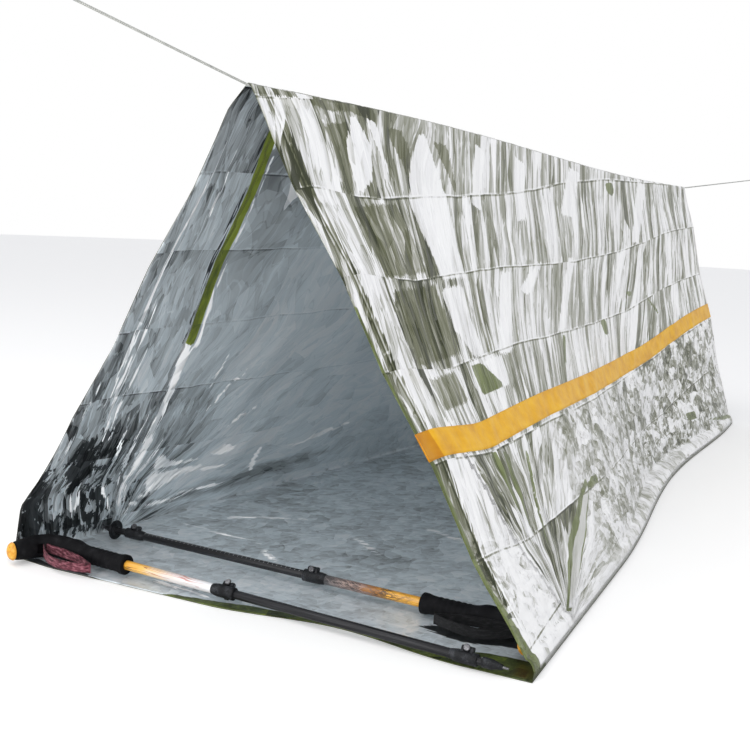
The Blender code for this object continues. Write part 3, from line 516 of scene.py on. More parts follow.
on_right = (film_column > region_starts[1]) & (film_column <= region_starts[3])
on_left = film_column >= region_starts[4]
on_floor = film_column <= region_starts[1]
on_skirt = on_right & (film_column < region_starts[2])
flow_lean = np.where(on_right, streak_lean(film_a), np.where(film_a < 0.24, -0.10, 0.3))
flow = film_a - flow_lean * (film_run - GATHER_HEIGHT)
flow_along = film_run.copy()
# Low on both walls the folds fan out from where a pole's end or the corner holds the sheet down
strip_edge = 0.235 - 0.34 * film_run
right_fan = on_right & (film_run < TAPE_LOW + 0.02) & (film_a < 0.75) & (film_a > strip_edge)
left_fan = on_left & (film_a < 1.4) & (film_a > 0.236 - 0.10 * film_run)
FAN_REACH = 0.30
for fan, fan_a, fan_s in ((right_fan, 0.225, 0.010), (left_fan, 0.240, -0.020)):
    angle = np.arctan2(film_a - fan_a, film_s - fan_s)
    flow = np.where(fan, angle * FAN_REACH + 4.0, flow)
    flow_along = np.where(fan, np.hypot(film_a - fan_a, film_s - fan_s), flow_along)


def near_edge(outline):
    """Metres inside an outline on the sheet, and less than nothing outside it."""
    a, s = film_a, film_s
    inside = np.zeros(a.shape, bool)
    nearest = np.full(a.shape, 9.0)
    points = [(along / 1000, upward / 1000) for along, upward in zip(outline[::2], outline[1::2])]
    for (a0, s0), (a1, s1) in zip(points, points[1:] + points[:1]):
        da, ds = a1 - a0, s1 - s0
        share = np.clip(((a - a0) * da + (s - s0) * ds) / (da ** 2 + ds ** 2), 0, 1)
        nearest = np.minimum(nearest, np.hypot(a - a0 - share * da, s - s0 - share * ds))
        if s0 != s1:
            inside ^= ((s0 > s) != (s1 > s)) & (a < da * (s - s0) / ds + a0)
    return np.where(inside, nearest, -nearest)


def deepest(*patches):
    """Metres inside the nearest of several outlines, each list with the part of the sheet it is on."""
    reach = 0.05
    found = np.full(film_a.shape, -reach)
    for part, outlines in patches:
        for outline in outlines:
            found = np.maximum(found, np.where(part, near_edge(outline), -reach))
    return np.clip(found, -reach, reach)


# Painted reflections and shade on the film, as outlines in millimetres: from the mouth, then up the wall or
# across the floor, corner by corner. The bright ones are painted sky reflections; the olive, dark and shade
# ones painted dark reflections and shade, with the floor's dark ones painted shade along its front edge under
# the front pole's strap and by the rear pole's grip; the green ones painted grass reflections; the pleat one
# a pleat's facet with its reflection painted.
RIGHT_BRIGHT = (
    (52, 1020, 155, 1020, 130, 830, 110, 660, 100, 500, 120, 350, 170, 200, 235, 30, 20, 30, 35, 200, 40,
     350, 40, 500, 40, 660, 46, 830),
    (270, 995, 285, 990, 290, 930, 240, 860, 180, 838, 212, 930),
    (315, 990, 350, 985, 330, 900, 306, 828, 316, 910),
    (222, 230, 240, 262, 250, 262, 238, 215, 262, 150, 240, 150, 222, 185),
    (505, 965, 535, 965, 520, 830, 440, 655, 335, 655, 352, 820, 420, 900),
    (310, 640, 405, 640, 385, 500, 345, 500, 300, 560),
    (370, 490, 470, 490, 440, 430, 405, 430),
    (610, 655, 665, 650, 530, 490, 455, 490),
    (765, 950, 800, 930, 660, 790, 625, 810),
    (975, 915, 1025, 890, 900, 760, 840, 760),
    (850, 655, 880, 650, 720, 590, 690, 610),
    (1330, 880, 1400, 860, 1245, 745, 1165, 755),
    (1100, 645, 1160, 640, 900, 490, 840, 490),
    (1900, 860, 1960, 840, 1760, 660, 1700, 660))
RIGHT_OLIVE = (
    (45, 1050, 110, 1050, 130, 1005, 90, 998, 60, 1010),
    (150, 1050, 370, 1050, 360, 982, 270, 1002, 200, 1000, 150, 1012),
    (165, 972, 250, 980, 205, 900, 170, 838, 150, 838),
    (140, 815, 295, 815, 285, 675, 128, 675),
    (128, 650, 292, 650, 285, 515, 118, 515),
    (125, 488, 235, 488, 230, 430, 125, 430),
    (50, 515, 92, 515, 85, 455),
    (380, 975, 440, 970, 430, 900, 385, 860),
    (560, 950, 610, 945, 590, 840, 570, 840))
RIGHT_GREEN = (
    (305, 488, 360, 488, 405, 430, 300, 430),
    (780, 420, 800, 420, 890, 480, 860, 478),
    (1250, 465, 1300, 465, 1295, 425, 1255, 425),
    (1735, 500, 1750, 500, 1820, 440, 1800, 436),
    (1555, 520, 1620, 516, 1610, 505, 1570, 505),
    (1590, 838, 1655, 842, 1660, 815, 1630, 800, 1595, 812),
    (655, 185, 720, 178, 710, 162, 640, 165),
    (1850, 115, 1950, 110, 1960, 85, 1880, 88),
    (2020, 72, 2390, 32, 2390, 14, 2150, 50),
    (-10, 640, 6, 640, 11, 400, 13, 140, 30, 30, 34, -10, -10, -10),
    (225, 26, 245, 22, 400, 70, 645, 170, 622, 190, 390, 118),
    (212, 335, 236, 330, 240, 240, 232, 190),
    (262, 325, 282, 320, 252, 150, 250, 200),
    (360, 310, 372, 300, 290, 130, 292, 160))
PLEAT_REFLECTION = (
    (240, 26, 275, 26, 400, 74, 630, 168, 618, 177, 400, 104),)
LEFT_GREEN = (
    (128, 945, 154, 945, 214, 470, 190, 480),)
LEFT_BRIGHT = (
    (158, 945, 163, 940, 224, 470, 218, 470),
    (44, 700, 56, 500, 72, 330, 50, 480),
    (98, 480, 108, 330, 128, 240, 110, 360),
    (190, 330, 212, 160, 232, 60, 200, 180),
    (290, 180, 340, 150, 430, 142, 350, 136, 300, 130),
    (300, 116, 400, 122, 560, 100, 420, 100, 300, 84),
    (440, 150, 480, 170, 540, 160, 500, 140),
    (420, 215, 500, 254, 560, 290, 480, 258),
    (350, 262, 400, 335, 440, 410, 388, 345),
    (700, 120, 820, 130, 960, 170, 820, 150),
    (182, 505, 212, 470, 238, 330, 246, 200, 242, 80, 236, 50, 230, 200, 218, 330),
    (343, 470, 336, 350, 330, 260, 327, 350),
    (285, 250, 262, 120, 246, 40, 256, 140),
    (64, 640, 78, 420, 112, 250, 70, 400),
    (30, 960, 38, 760, 50, 480, 30, 740),
    (70, 900, 80, 800, 84, 700, 74, 800),
    (150, 300, 190, 110, 226, 30, 178, 120),
    (120, 140, 140, 80, 126, 50, 112, 90),
    (20, 420, 30, 250, 36, 200, 22, 260),
    (240, 30, 340, 75, 425, 105, 330, 95),
    (250, 28, 420, 52, 640, 60, 420, 40),
    (620, 145, 634, 110, 628, 70, 612, 80),
    (245, 850, 300, 830, 270, 780))
LEFT_SHADE = (300, 40, 480, 66, 760, 88, 950, 84, 780, 50, 480, 28)
LEFT_DARK = (
    (-10, 200, 30, 180, 42, 120, 60, 70, 50, 30, -10, 30),
    (58, 235, 85, 262, 120, 225, 135, 165, 112, 110, 64, 150),
    (140, 120, 165, 130, 170, 40, 148, 40),
    (148, 250, 165, 235, 190, 130, 216, 40, 180, 50, 160, 130),
    (60, 60, 120, 52, 200, 50, 200, 20, 60, 20),
    (262, 110, 276, 105, 262, 55, 254, 60),
    (118, 950, 124, 945, 186, 480, 181, 480))
FLOOR_BRIGHT = (
    (355, 60, 345, 180, 330, 300, 322, 300, 335, 180),
    (300, 330, 255, 395, 245, 390, 290, 320),
    (440, 120, 520, 260, 530, 262, 450, 110),
    (470, 420, 400, 530, 392, 520, 462, 410),
    (240, 470, 190, 620, 182, 612, 232, 460),
    (620, 500, 560, 640, 548, 640, 612, 490),
    (50, 300, 30, 440, 22, 440, 40, 300))
FLOOR_GREEN = (
    (-50, 310, 8, 370, 28, 520, 24, 700, 34, 860, 58, 950, 62, 1050, -50, 1050),)
FLOOR_DARK = (
    (-50, 20, 16, 30, 14, 150, -12, 270, -50, 300),
    (100, 790, 72, 880, 100, 985, 150, 1020, 160, 900))

bright = deepest((on_right, RIGHT_BRIGHT), (on_left, LEFT_BRIGHT), (on_floor, FLOOR_BRIGHT))
dark = deepest((on_right, RIGHT_OLIVE), (on_left, LEFT_DARK), (on_floor, FLOOR_DARK))
green = deepest((on_right, RIGHT_GREEN), (on_left, LEFT_GREEN), (on_floor, FLOOR_GREEN))
# A painted grass reflection along the foot of the right wall's skirt
green = np.maximum(green, np.where(on_right, np.clip(0.0032 - film_s, -0.05, 0.05), -0.05))
crumpled = np.where(on_right & (film_run < TAPE_LOW + 0.01), eased((film_a - 0.45) / 0.25), 0.0)
crumpled = np.where(on_right & (film_a < strip_edge), eased((0.26 - film_run) / 0.08), crumpled)
crumpled = np.where(on_left, eased(1 - (np.abs(film_a - 1.4) - 0.12) / 0.40), crumpled)
crumpled = np.where(on_floor, 1.0, crumpled)
creased = np.select((on_right & ~on_skirt & (film_s > 0.06), on_left & (film_s > 0.25)), (1.0, 0.35), 0.0)

corner = eased(1.3 - np.hypot(film_a - 0.10, film_s - 0.10) / 0.30)
# Painted reflection and shade over the whole sheet: olive by the mouth, as if mirroring grass, and darkest
# along the mouth's edge; paler to the rear; quiet on the floor. Inside, painted shade darkens the left wall
# low down, high up, in its front corner and under a fold, and the floor deeper in.
tone = 0.46 + 0.16 * eased((film_a - 0.30) / 0.35) + 0.09 * eased((film_a - 1.0) / 0.7)
tone = np.where(on_right & (film_s < 0.37), 0.44 + 0.17 * eased((film_a - 0.22) / 0.5), tone)
tone = np.where(on_right & (film_a < 0.045), 0.36, tone)
left_tone = 0.47 + 0.18 * eased((film_a - 0.20) / 0.3)
left_tone = left_tone - 0.08 * eased((0.10 - film_s) / 0.08) * (film_a > 0.30)
left_tone = left_tone - 0.08 * corner - 0.10 * eased((film_s - 0.70) / 0.20)
left_tone = left_tone - 0.22 * eased(near_edge(LEFT_SHADE) / 0.010 + 0.5)
floor_tone = 0.49 - 0.07 * eased((film_a - 0.27 - 0.25 * (film_s - 0.5)) / 0.06)
tone = np.select((on_left, on_floor), (left_tone, floor_tone), tone)
# How strongly the facets' painted reflections differ: most by the mouth and at the left corner, least on the
# floor
lively = 1.0 - 0.35 * eased((film_a - 0.30) / 0.25) + 0.25 * eased((film_a - 1.0) / 0.5)
left_lively = 0.26 + 0.16 * eased((0.20 - film_a) / 0.12) + 0.30 * corner
in_strip = on_right & (near_edge(RIGHT_BRIGHT[0]) > 0)
lively = np.select((on_left, on_floor, in_strip), (left_lively, 0.30, 1.8), lively)
sheet_looks = {
    "bright": bright, "dark": dark, "green": green, "pleat_reflection": deepest((on_right, PLEAT_REFLECTION)), "crumpled": crumpled,
    "creased": creased, "tone": tone, "lively": lively, "corner_raggedness": np.where(on_left, corner, 0.0),
    "walled": on_right * 1.0,
    # Tone of the painted grass reflections: nearly black along the floor's front edge
    "grass_reflection_shade": np.select((on_floor, on_left), (0.20, 0.55), 0.40),
    # The skirt's painted reflection: pale by the mouth, darker further in
    "skirt_tone": 0.88 - 0.16 * eased((film_a - 0.15) / 0.4),
    "skirt": np.where(on_right, np.clip((0.034 - film_s) / 0.008, 0, 1), 0.0)}
for attribute, values in sheet_looks.items():
    film_data.attributes.new(attribute, "FLOAT", "POINT").data.foreach_set("value", values.astype(np.float32))
lay_sheet(film_data, film_x, film_y, film_z, flat=(film_a, film_run), flow=(flow, flow_along))

sheet = bmesh.new()
sheet.from_mesh(film_data)
bmesh.ops.remove_doubles(sheet, verts=sheet.verts, dist=1e-6)
bmesh.ops.reverse_faces(sheet, faces=sheet.faces)
sheet.to_mesh(film_data)
sheet.free()
film_data.shade_smooth()


def times(first, second):
    return math_node("MULTIPLY", first, second)


def plus(first, second):
    return math_node("ADD", first, second)


def less(first, second):
    return math_node("SUBTRACT", first, second)


def scaled(value, factor, added):
    """A value times a factor, plus another."""
    return math_node("MULTIPLY_ADD", value, factor, added)


def size_of(value):
    return math_node("ABSOLUTE", value)


def vector_node(operation, first, second):
    """One vector from two, or their dot product."""
    socket = "Scale" if operation == "SCALE" else 1
    made = node("VectorMath", {0: first, socket: second}, operation=operation)
    return made["Value" if operation == "DOT_PRODUCT" else 0]


def split(vector):
    return node("SeparateXYZ", {"Vector": vector})


def uv_place(layer):
    return node("UVMap", {}, uv_map=layer)[0]


def stretched(vector, size, detail=2.0, roughness=0.5, distortion=0.0):
    """Noise whose grains are as long and as wide as the two sizes given, in metres."""
    grains = vector_node("MULTIPLY", vector, (1 / size[0], 1 / size[1], 1))
    inputs = {"Vector": grains, "Scale": 1.0, "Detail": detail, "Roughness": roughness,
              "Distortion": distortion}
    return node("TexNoise", inputs, noise_dimensions="2D")["Fac"]


def stepped(value, low, high):
    """0 below one value and 1 above the other."""
    limits = {"Value": value, "From Min": low, "From Max": high}
    return node("MapRange", limits, interpolation_type="SMOOTHSTEP")[0]


def hairlines(vector, size, width):
    """Thin ragged lines that run the long way of the sizes given."""
    level = stretched(vector, size, detail=1.5, roughness=0.4)
    return stepped(size_of(less(level, 0.5)), width, width * 0.4)


def mixed(factor, first, second):
    """One number where the factor is 0 and another where it is 1."""
    return node("Mix", {0: factor, 2: first, 3: second})[0]


def blended(factor, first, second, how="MIX"):
    """One colour where the factor is 0 and another where it is 1."""
    return node("Mix", {0: factor, 6: first, 7: second}, data_type="RGBA", blend_type=how)[2]


def facets(vector, size, seed, slope):
    """A painted reflection tone about 0 for each flat facet of the film, with a slope across it."""
    grains = vector_node("MULTIPLY", vector, (1 / size[0], 1 / size[1], 1))
    moved = vector_node("ADD", grains, (seed, seed * 1.7, 0))
    cells = node("TexVoronoi", {"Vector": moved, "Scale": 1.0}, voronoi_dimensions="2D")
    random = split(cells["Color"])
    away = vector_node("SUBTRACT", moved, cells["Position"])
    across = vector_node("DOT_PRODUCT", away, (slope, slope * 0.4, 0))
    return scaled(across, scaled(random["Y"], 2.0, -1.0), less(random["X"], 0.5))


def bent_by(vector, place, scale, reach):
    """The vector moved a little to and fro, so that nothing on it runs dead straight."""
    sway = node("TexNoise", {"Vector": place, "Scale": scale, "Detail": 0.0}, noise_dimensions="2D")["Color"]
    sway = vector_node("SCALE", vector_node("SUBTRACT", sway, (0.5, 0.5, 0.5)), reach)
    return vector_node("ADD", vector, sway)


def film_finish(name, stops, green_stops, weights, size, roughness, shade_kept, towards_mouth):
    """Metallised film with its reflections painted in: each little facet is given the colour of what it would
    mirror, bright sky or dark grass.
    """
    made, sockets = new_finish(name, (0.6, 0.6, 0.6), roughness, 0.4)
    flow_uv = uv_place("flow")
    flat_uv = uv_place("flat")

    def stored(attribute):
        return node("Attribute", {}, attribute_name=attribute)["Fac"]

    def about_half(value):
        return less(value, 0.5)

    # The packing creases part the sheet into long panels, and the gathers start afresh in each
    place = split(flat_uv)
    level = scaled(stretched(flat_uv, (0.35, 0.08)), 0.012, place["Y"])
    panels = scaled(level, 1 / PACK_FOLD, 0.5 - (SKIRT_HEIGHT + 0.006) / PACK_FOLD)
    panel = math_node("FLOOR", plus(panels, 0.5))
    panel_shift = node("CombineXYZ", {"X": times(panel, 0.6137)})[0]
    flow_here = bent_by(vector_node("ADD", flow_uv, panel_shift), flat_uv, 5.0, 0.030)
    flat_here = bent_by(flat_uv, flat_uv, 26.0, 0.014)

    # Painted reflections in long shards along the gathers, and in knotted flecks low down and to the rear
    crumple = stored("crumpled")
    levels = []
    for shard, shard_seed, knot, knot_seed, slope in (
            ((0.046, 0.30), 3.3, (0.060, 0.050), 5.1, 0.5),
            ((0.017, 0.12), 7.9, (0.020, 0.015), 9.7, 0.7),
            ((0.0062, 0.045), 1.9, (0.0075, 0.0060), 4.3, 0.8)):
        shards = facets(flow_here, (shard[0] * size, shard[1]), shard_seed, slope)
        knots = facets(flat_here, (knot[0] * size, knot[1] * size), knot_seed, slope)
        levels.append(mixed(crumple, shards, knots))
    large, medium, small = levels
    fine = about_half(mixed(crumple, stretched(flow_here, (0.005, 0.036)),
                            stretched(flat_here, (0.010, 0.010), 2.5, 0.6, 1.2)))
    pale_lines = hairlines(flow_here, (0.020, 0.16), 0.022)
    other_place = node("Mapping", {"Vector": flow_here, "Location": (3.1, 7.7, 0)})[0]
    dark_lines = hairlines(other_place, (0.016, 0.12), 0.020)
    change = times(large, weights[0])
    for level, weight in ((medium, weights[1]), (small, weights[2]), (fine, weights[3]),
                          (pale_lines, weights[4]), (dark_lines, -weights[4])):
        change = scaled(level, weight, change)
    lively = stored("lively")
    change = times(change, lively)
    tone = plus(stored("tone"), change)

    # Painted reflection by facing: paler where the sheet itself turns up or towards the rear, darker where it
    # turns down or towards the mouth
    normal = node("NewGeometry", {})["Normal"]
    facing = vector_node("DOT_PRODUCT", normal, (0.0, 0.75, 0.35))
    tone = scaled(facing, times(lively, 0.5), tone)

    # Painted reflections: places painted as mirroring mostly shade or mostly sky, and a pleat's facet painted
    # with its own reflection, with ragged ends along the gathers and more ragged at the left corner
    ragged = times(about_half(stretched(flow_here, (0.004, 0.09), 1.0)), 0.016)
    corner_rag = times(about_half(stretched(flat_here, (0.011, 0.026), 3.0, 0.6)), stored("corner_raggedness"))
    found = {}
    for attribute, kept, value, frayed, corner_ragged in (("dark", shade_kept, 0.00, 1.0, 0.100),
                                                     ("bright", 0.40, 0.70, 1.0, 0.014),
                                                     ("pleat_reflection", 0.10, 0.58, 0.2, 0.0)):
        wobble = scaled(corner_rag, corner_ragged, times(ragged, frayed))
        found[attribute] = stepped(plus(stored(attribute), wobble), -0.0008, 0.0008)
        tone = mixed(found[attribute], tone, scaled(tone, kept, value))
    # The skirt is painted with its own reflection tone
    tone = mixed(stored("skirt"), tone, scaled(change, 0.55, stored("skirt_tone")))

    # Painted shade and highlight along the creases left by packing and along the hem, each a dark and a pale
    # hairline, and a dark line along the top of the skirt by the mouth
    offset = times(about_half(math_node("FRACT", panels)), PACK_FOLD)
    creases = stored("creased")
    crease_lines_showing = times(stepped(stretched(flat_uv, (0.20, 0.4), 1.0), 0.30, 0.44), creases)
    hem = less(place["X"], HEM_WIDTH / 2)
    hem_here = math_node("GREATER_THAN", creases, 0.9)
    walled = stored("walled")
    skirt_top_line = less(place["Y"], scaled(place["X"], 0.08, 0.033))
    skirt_top_line_here = times(stepped(place["X"], 0.235, 0.215), walled)
    for distance, strength, middle, weight in ((offset, crease_lines_showing, -0.0016, -0.30), (offset, crease_lines_showing, 0.0014, 0.18),
                                               (hem, hem_here, 0.0, 0.26), (hem, hem_here, -0.003, -0.20),
                                               (skirt_top_line, skirt_top_line_here, 0.0, -0.55)):
        line = times(stepped(size_of(less(distance, middle)), 0.0024, 0.0010), strength)
        tone = scaled(line, weight, tone)

    # Painted grass reflections, left out on the pleat's facet
    grass_reflection = stepped(scaled(ragged, 0.25, stored("green")), -0.0010, 0.0010)
    grass_reflection = times(grass_reflection, less(1.0, found["pleat_reflection"]))
    grass_reflection_tone = scaled(fine, 0.5, scaled(medium, 0.30, stored("grass_reflection_shade")))
    join(blended(grass_reflection, ramp(tone, stops), ramp(grass_reflection_tone, green_stops)), sockets["Base Color"])
    join(scaled(found["dark"], 0.50, 0.4), sockets["Metallic"])

    # The painted pale creases inside are also tilted to face the open mouth, so the light from there falls on
    # them
    mouth = node("CombineXYZ", {"X": scaled(walled, -1.1, 0.55), "Y": -0.80, "Z": 0.25})[0]
    mouth = node("VectorTransform", {"Vector": mouth}, vector_type="VECTOR", convert_from="OBJECT",
                 convert_to="WORLD")[0]
    turned = times(found["bright"], math_node("MULTIPLY_ADD", small, 2.4, 0.9, use_clamp=True))
    mouth = vector_node("SCALE", mouth, times(turned, towards_mouth))
    leaning = node("VectorMath", {0: vector_node("ADD", normal, mouth)}, operation="NORMALIZE")[0]
    bump(sockets, scaled(medium, 1.5, small), 0.0010, leaning)
    return made


# Painted reflection and shade: tones from dark shade and grass to bright sky, outside and inside, and the
# greens of the painted grass reflections
OUTSIDE_STOPS = ((0.00, 0.028, 0.034, 0.012), (0.20, 0.108, 0.116, 0.062), (0.38, 0.225, 0.232, 0.168),
                 (0.52, 0.41, 0.415, 0.37), (0.66, 0.67, 0.67, 0.65), (0.78, 0.85, 0.85, 0.86),
                 (1.00, 0.96, 0.96, 0.96))
INSIDE_STOPS = ((0.00, 0.010, 0.011, 0.012), (0.16, 0.14, 0.15, 0.155), (0.34, 0.50, 0.54, 0.56),
                (0.55, 0.78, 0.85, 0.89), (0.72, 0.95, 0.98, 1.0), (1.00, 1.0, 1.0, 1.0))
GREEN_OUTSIDE = ((0.0, 0.020, 0.026, 0.008), (0.40, 0.13, 0.16, 0.05), (0.70, 0.26, 0.30, 0.13))
GREEN_INSIDE = ((0.0, 0.018, 0.024, 0.008), (0.30, 0.10, 0.13, 0.035), (0.60, 0.30, 0.37, 0.04),
                (0.90, 0.42, 0.50, 0.12))
# How much the large, medium, small and finest facets and the hairlines each change the tone
OUTSIDE_WEIGHTS = (0.70, 0.62, 0.30, 0.16, 0.20)
INSIDE_WEIGHTS = (0.48, 0.56, 0.42, 0.30, 0.26)
outside_finish = film_finish("film_outside", OUTSIDE_STOPS, GREEN_OUTSIDE, OUTSIDE_WEIGHTS, size=1.0,
                             roughness=0.30, shade_kept=0.55, towards_mouth=0.0)
inside_finish = film_finish("film_inside", INSIDE_STOPS, GREEN_INSIDE, INSIDE_WEIGHTS, size=1.9,
                            roughness=0.40, shade_kept=0.20, towards_mouth=2.2)
film = add_piece("silver_film", film_data, outside_finish, "tent", "film_tube")
film_data.materials.append(inside_finish)
film_wall = add_wall(film, FILM_WALL, -1)
film_wall.material_offset = 1
film_wall.use_rim = True


# Orange tape
# A strip of orange tape is stuck along the right wall over the middle crease. At the mouth it is turned
# round the edge and stuck down inside.

TAPE_LIFT = 0.0007
TAPE_THICKNESS = 0.0004
TAPE_WRAP = 0.030
TAPE_COLUMNS = 8
TAPE_INSIDE = FILM_WALL + 0.0012
TAPE_BEFORE = 0.0012
# Rows of the tape: metres from the mouth, and whether it lies inside (-1), across the edge (0) or outside
TAPE_TURN = ((TAPE_WRAP, -1), (TAPE_WRAP / 2, -1), (0.004, -1), (0.0, -1), (-0.0006, 0), (-0.0006, 1))

row_a = np.array([a for a, _ in TAPE_TURN] + [0.0] + list(np.linspace(0.006, TENT_LENGTH, 260)))
row_side = np.ones(len(row_a))
row_side[:len(TAPE_TURN)] = [side for _, side in TAPE_TURN]
tape_data, tape_column, tape_row = grid_sheet("orange_tape", TAPE_COLUMNS, len(row_a) - 1)
tape_a = np.clip(row_a[tape_row], 0, TENT_LENGTH)
tape_y = tape_a + MOUTH_Y
_, _, foot_x = edges_at(tape_a)
ridge_x, ridge_z = ridge_line(tape_a)
wall_top = np.hypot(ridge_x - foot_x, ridge_z - RIDGE_RADIUS - SKIRT_HEIGHT)
tape_run = TAPE_LOW - SKIRT_HEIGHT + (TAPE_HIGH - TAPE_LOW) * tape_column / TAPE_COLUMNS
tape_x, tape_z, _, _ = wall_face(foot_x, SKIRT_HEIGHT, 1, tape_y, tape_run / wall_top)
out_x, out_z = ridge_z - SKIRT_HEIGHT, foot_x - ridge_x
side = row_side[tape_row]
lift = np.select((side < 0, side > 0), (-TAPE_INSIDE, TAPE_LIFT), 0) / np.hypot(out_x, out_z)
tape_y = np.where(row_a[tape_row] < 0, MOUTH_Y - TAPE_BEFORE, tape_y)
lay_sheet(tape_data, tape_x + out_x * lift, tape_y, tape_z + out_z * lift, flat=(tape_a, tape_run))
tape_data.shade_smooth()

tape_finish, sockets = new_finish("orange_tape", (0.80, 0.42, 0.05), 0.42, more={"Specular IOR Level": 0.25})
tape_place = uv_place("flat")
grain = noise(tape_place, 22.0, 6.0, 0.6)
tape_colour = ramp(grain, ((0.30, 0.72, 0.33, 0.006), (0.50, 0.86, 0.45, 0.010), (0.72, 0.95, 0.56, 0.035)))
# Painted shade: the tape is darker for its first few centimetres from the mouth, where the hem under it turns
# inward
along = split(tape_place)
shaded_tape_end = stepped(scaled(along["Y"], 0.10, along["X"]), 0.076, 0.073)
join(blended(shaded_tape_end, tape_colour, (0.70, 0.54, 0.25, 1), "MULTIPLY"), sockets["Base Color"])
bump(sockets, grain, 0.004)
tape = add_piece("orange_tape", tape_data, tape_finish, "tent", "orange_band")
add_wall(tape, TAPE_THICKNESS, 1)


# Grips
# Each pole's grip is one moulding of dense black foam over the top of its shaft: a bent head, a swell
# for the hand and a ribbed part below it. A hard orange cap closes the head.

GAP = 0.0003
UPPER_RADIUS = 0.0090
MIDDLE_RADIUS = 0.0078
LOWER_RADIUS = 0.0066
HAND_RADIUS = 0.0236
HAND_REST = 0.102
FILM_UNDER_POLE = 0.0015
GRIP_LENGTH = 0.230
GRIP_RADIUS = 0.0165
COLLAR_RADIUS = 0.0188
HEAD_RADIUS = 0.0225
HAND_FLATTENING = 0.79
HAND_END = 0.122
BEND_START = 0.065
BEND_RADIUS = 0.045
BEND_ANGLE = math.radians(75)
BEAK_LENGTH = 0.038
HEAD_START = BEND_START - BEND_RADIUS * BEND_ANGLE - BEAK_LENGTH
UPPER_START = 0.069
UPPER_END = 0.470
PIN_RADIUS = 0.0015
STRAP_WIDTH = 0.018
STRAP_ANGLE = math.radians(11.3)
STRAP_PIN_TURN = math.radians(42)
STRAP_PIN_DEPTH = 0.0062
POCKET_SIZE = (0.031, 0.0212, STRAP_WIDTH + 0.0012)
RIB_DEPTH = 0.0005
RIB_SPACING = 0.011

# A pole lies on its grip at one end and on its basket or last clamp at the other. The rows give the place
# of its head, its heading, its strap's side, the far end's radius and how far its lower tubes stand out.
poles = []
for pole, head, heading, side, far_radius, middle_out, lower_out in (
        ("front", (-0.5005, -1.1410), math.radians(-3.1), -1, 0.0146, 0.463, 0.030),
        ("rear", (0.5060, -1.0465), math.radians(176.6), 1, 0.0200, 0.429, 0.046)):
    middle_end = UPPER_END + middle_out
    tilt = math.atan2(HAND_RADIUS - far_radius, middle_end - HAND_REST)
    height = FILM_UNDER_POLE + GAP + HAND_RADIUS + HAND_REST * math.tan(tilt)
    turn = Matrix.Rotation(heading, 4, "Z") @ Matrix.Rotation(tilt, 4, "Y")
    poles.append((pole, side, middle_end, middle_end + lower_out, Matrix.Translation((*head, height)) @ turn))


def lathe(profile, sides=48, ring=False):
    """A shape turned about the pole's line from (along, radius) points: a solid, or a ring."""
    bm = bmesh.new()
    spots = [bm.verts.new((along, 0, radius)) for along, radius in profile]
    lines = [bm.edges.new(pair) for pair in zip(spots, spots[1:])]
    if ring:
        lines.append(bm.edges.new((spots[-1], spots[0])))
    bmesh.ops.spin(bm, geom=spots + lines, cent=(0, 0, 0), axis=(1, 0, 0), angle=math.tau, steps=sides,
                   use_merge=True)
    bmesh.ops.remove_doubles(bm, verts=bm.verts, dist=1e-6)
    bmesh.ops.recalc_face_normals(bm, faces=bm.faces)
    return bm


def bend_head(bm, side):
    """Bends the top of a straight grip over to the strap's side and flattens the hand part."""
    for vert in bm.verts:
        x, y, z = vert.co
        near = min(1, max(0, (x - HAND_END) / 0.02))
        across = side * y * (HAND_FLATTENING + (1 - HAND_FLATTENING) * near)
        if x >= BEND_START:
            vert.co = (x, side * across, z)
            continue
        run = BEND_START - x
        turn = min(run / BEND_RADIUS, BEND_ANGLE)
        beyond = max(0, run - BEND_RADIUS * BEND_ANGLE)
        arm = BEND_RADIUS - across
        vert.co = (BEND_START - arm * math.sin(turn) - beyond * math.cos(turn),
                   side * (BEND_RADIUS - arm * math.cos(turn) + beyond * math.sin(turn)), z)


def strap_pin_spot(side):
    """The strap's pin stands inside the bend, just under the foam's surface."""
    arm = BEND_RADIUS - HEAD_RADIUS * HAND_FLATTENING + STRAP_PIN_DEPTH
    return Vector((BEND_START - arm * math.sin(STRAP_PIN_TURN),
                   side * (BEND_RADIUS - arm * math.cos(STRAP_PIN_TURN)), 0))


def grip_outline():
    """The straight grip's profile from the head's end to the collar, with its bumps rounded off."""
    corners = [(HEAD_START + 0.004, 0.0182), (HEAD_START + 0.014, 0.0200),
               (HEAD_START + BEAK_LENGTH, HEAD_RADIUS), (BEND_START, HEAD_RADIUS), (0.078, HAND_RADIUS),
               (0.090, HAND_RADIUS - 0.0012), (HAND_REST, HAND_RADIUS), (0.112, HAND_RADIUS - 0.0006),
               (HAND_END, 0.0190), (0.134, GRIP_RADIUS), (GRIP_LENGTH - 0.018, GRIP_RADIUS),
               (GRIP_LENGTH - 0.009, COLLAR_RADIUS)]
    along = np.linspace(corners[0][0], corners[-1][0], 120)
    radius = np.interp(along, *zip(*corners))
    for _ in range(6):
        radius[1:-1] = radius[1:-1] / 2 + (radius[:-2] + radius[2:]) / 4
    ribbed = eased((along - 0.136) / 0.006) * eased((0.208 - along) / 0.006)
    radius = radius + ribbed * RIB_DEPTH * np.cos(math.tau * (along - 0.142) / RIB_SPACING)
    head = [(HEAD_START, 0.0), (HEAD_START, 0.0145), (HEAD_START + 0.001, 0.0162)]
    collar = [(GRIP_LENGTH - 0.0015, COLLAR_RADIUS), (GRIP_LENGTH - 0.0004, COLLAR_RADIUS - 0.0006),
              (GRIP_LENGTH, COLLAR_RADIUS - 0.0015), (GRIP_LENGTH, 0.0)]
    return head + list(zip(along.tolist(), radius.tolist())) + collar


def ease_edges(bm, edges, offset, clamped=False):
    """Rounds edges off."""
    bmesh.ops.bevel(bm, geom=edges, offset=offset, affect="EDGES", segments=2, profile=0.5, material=-1,
                    clamp_overlap=clamped)


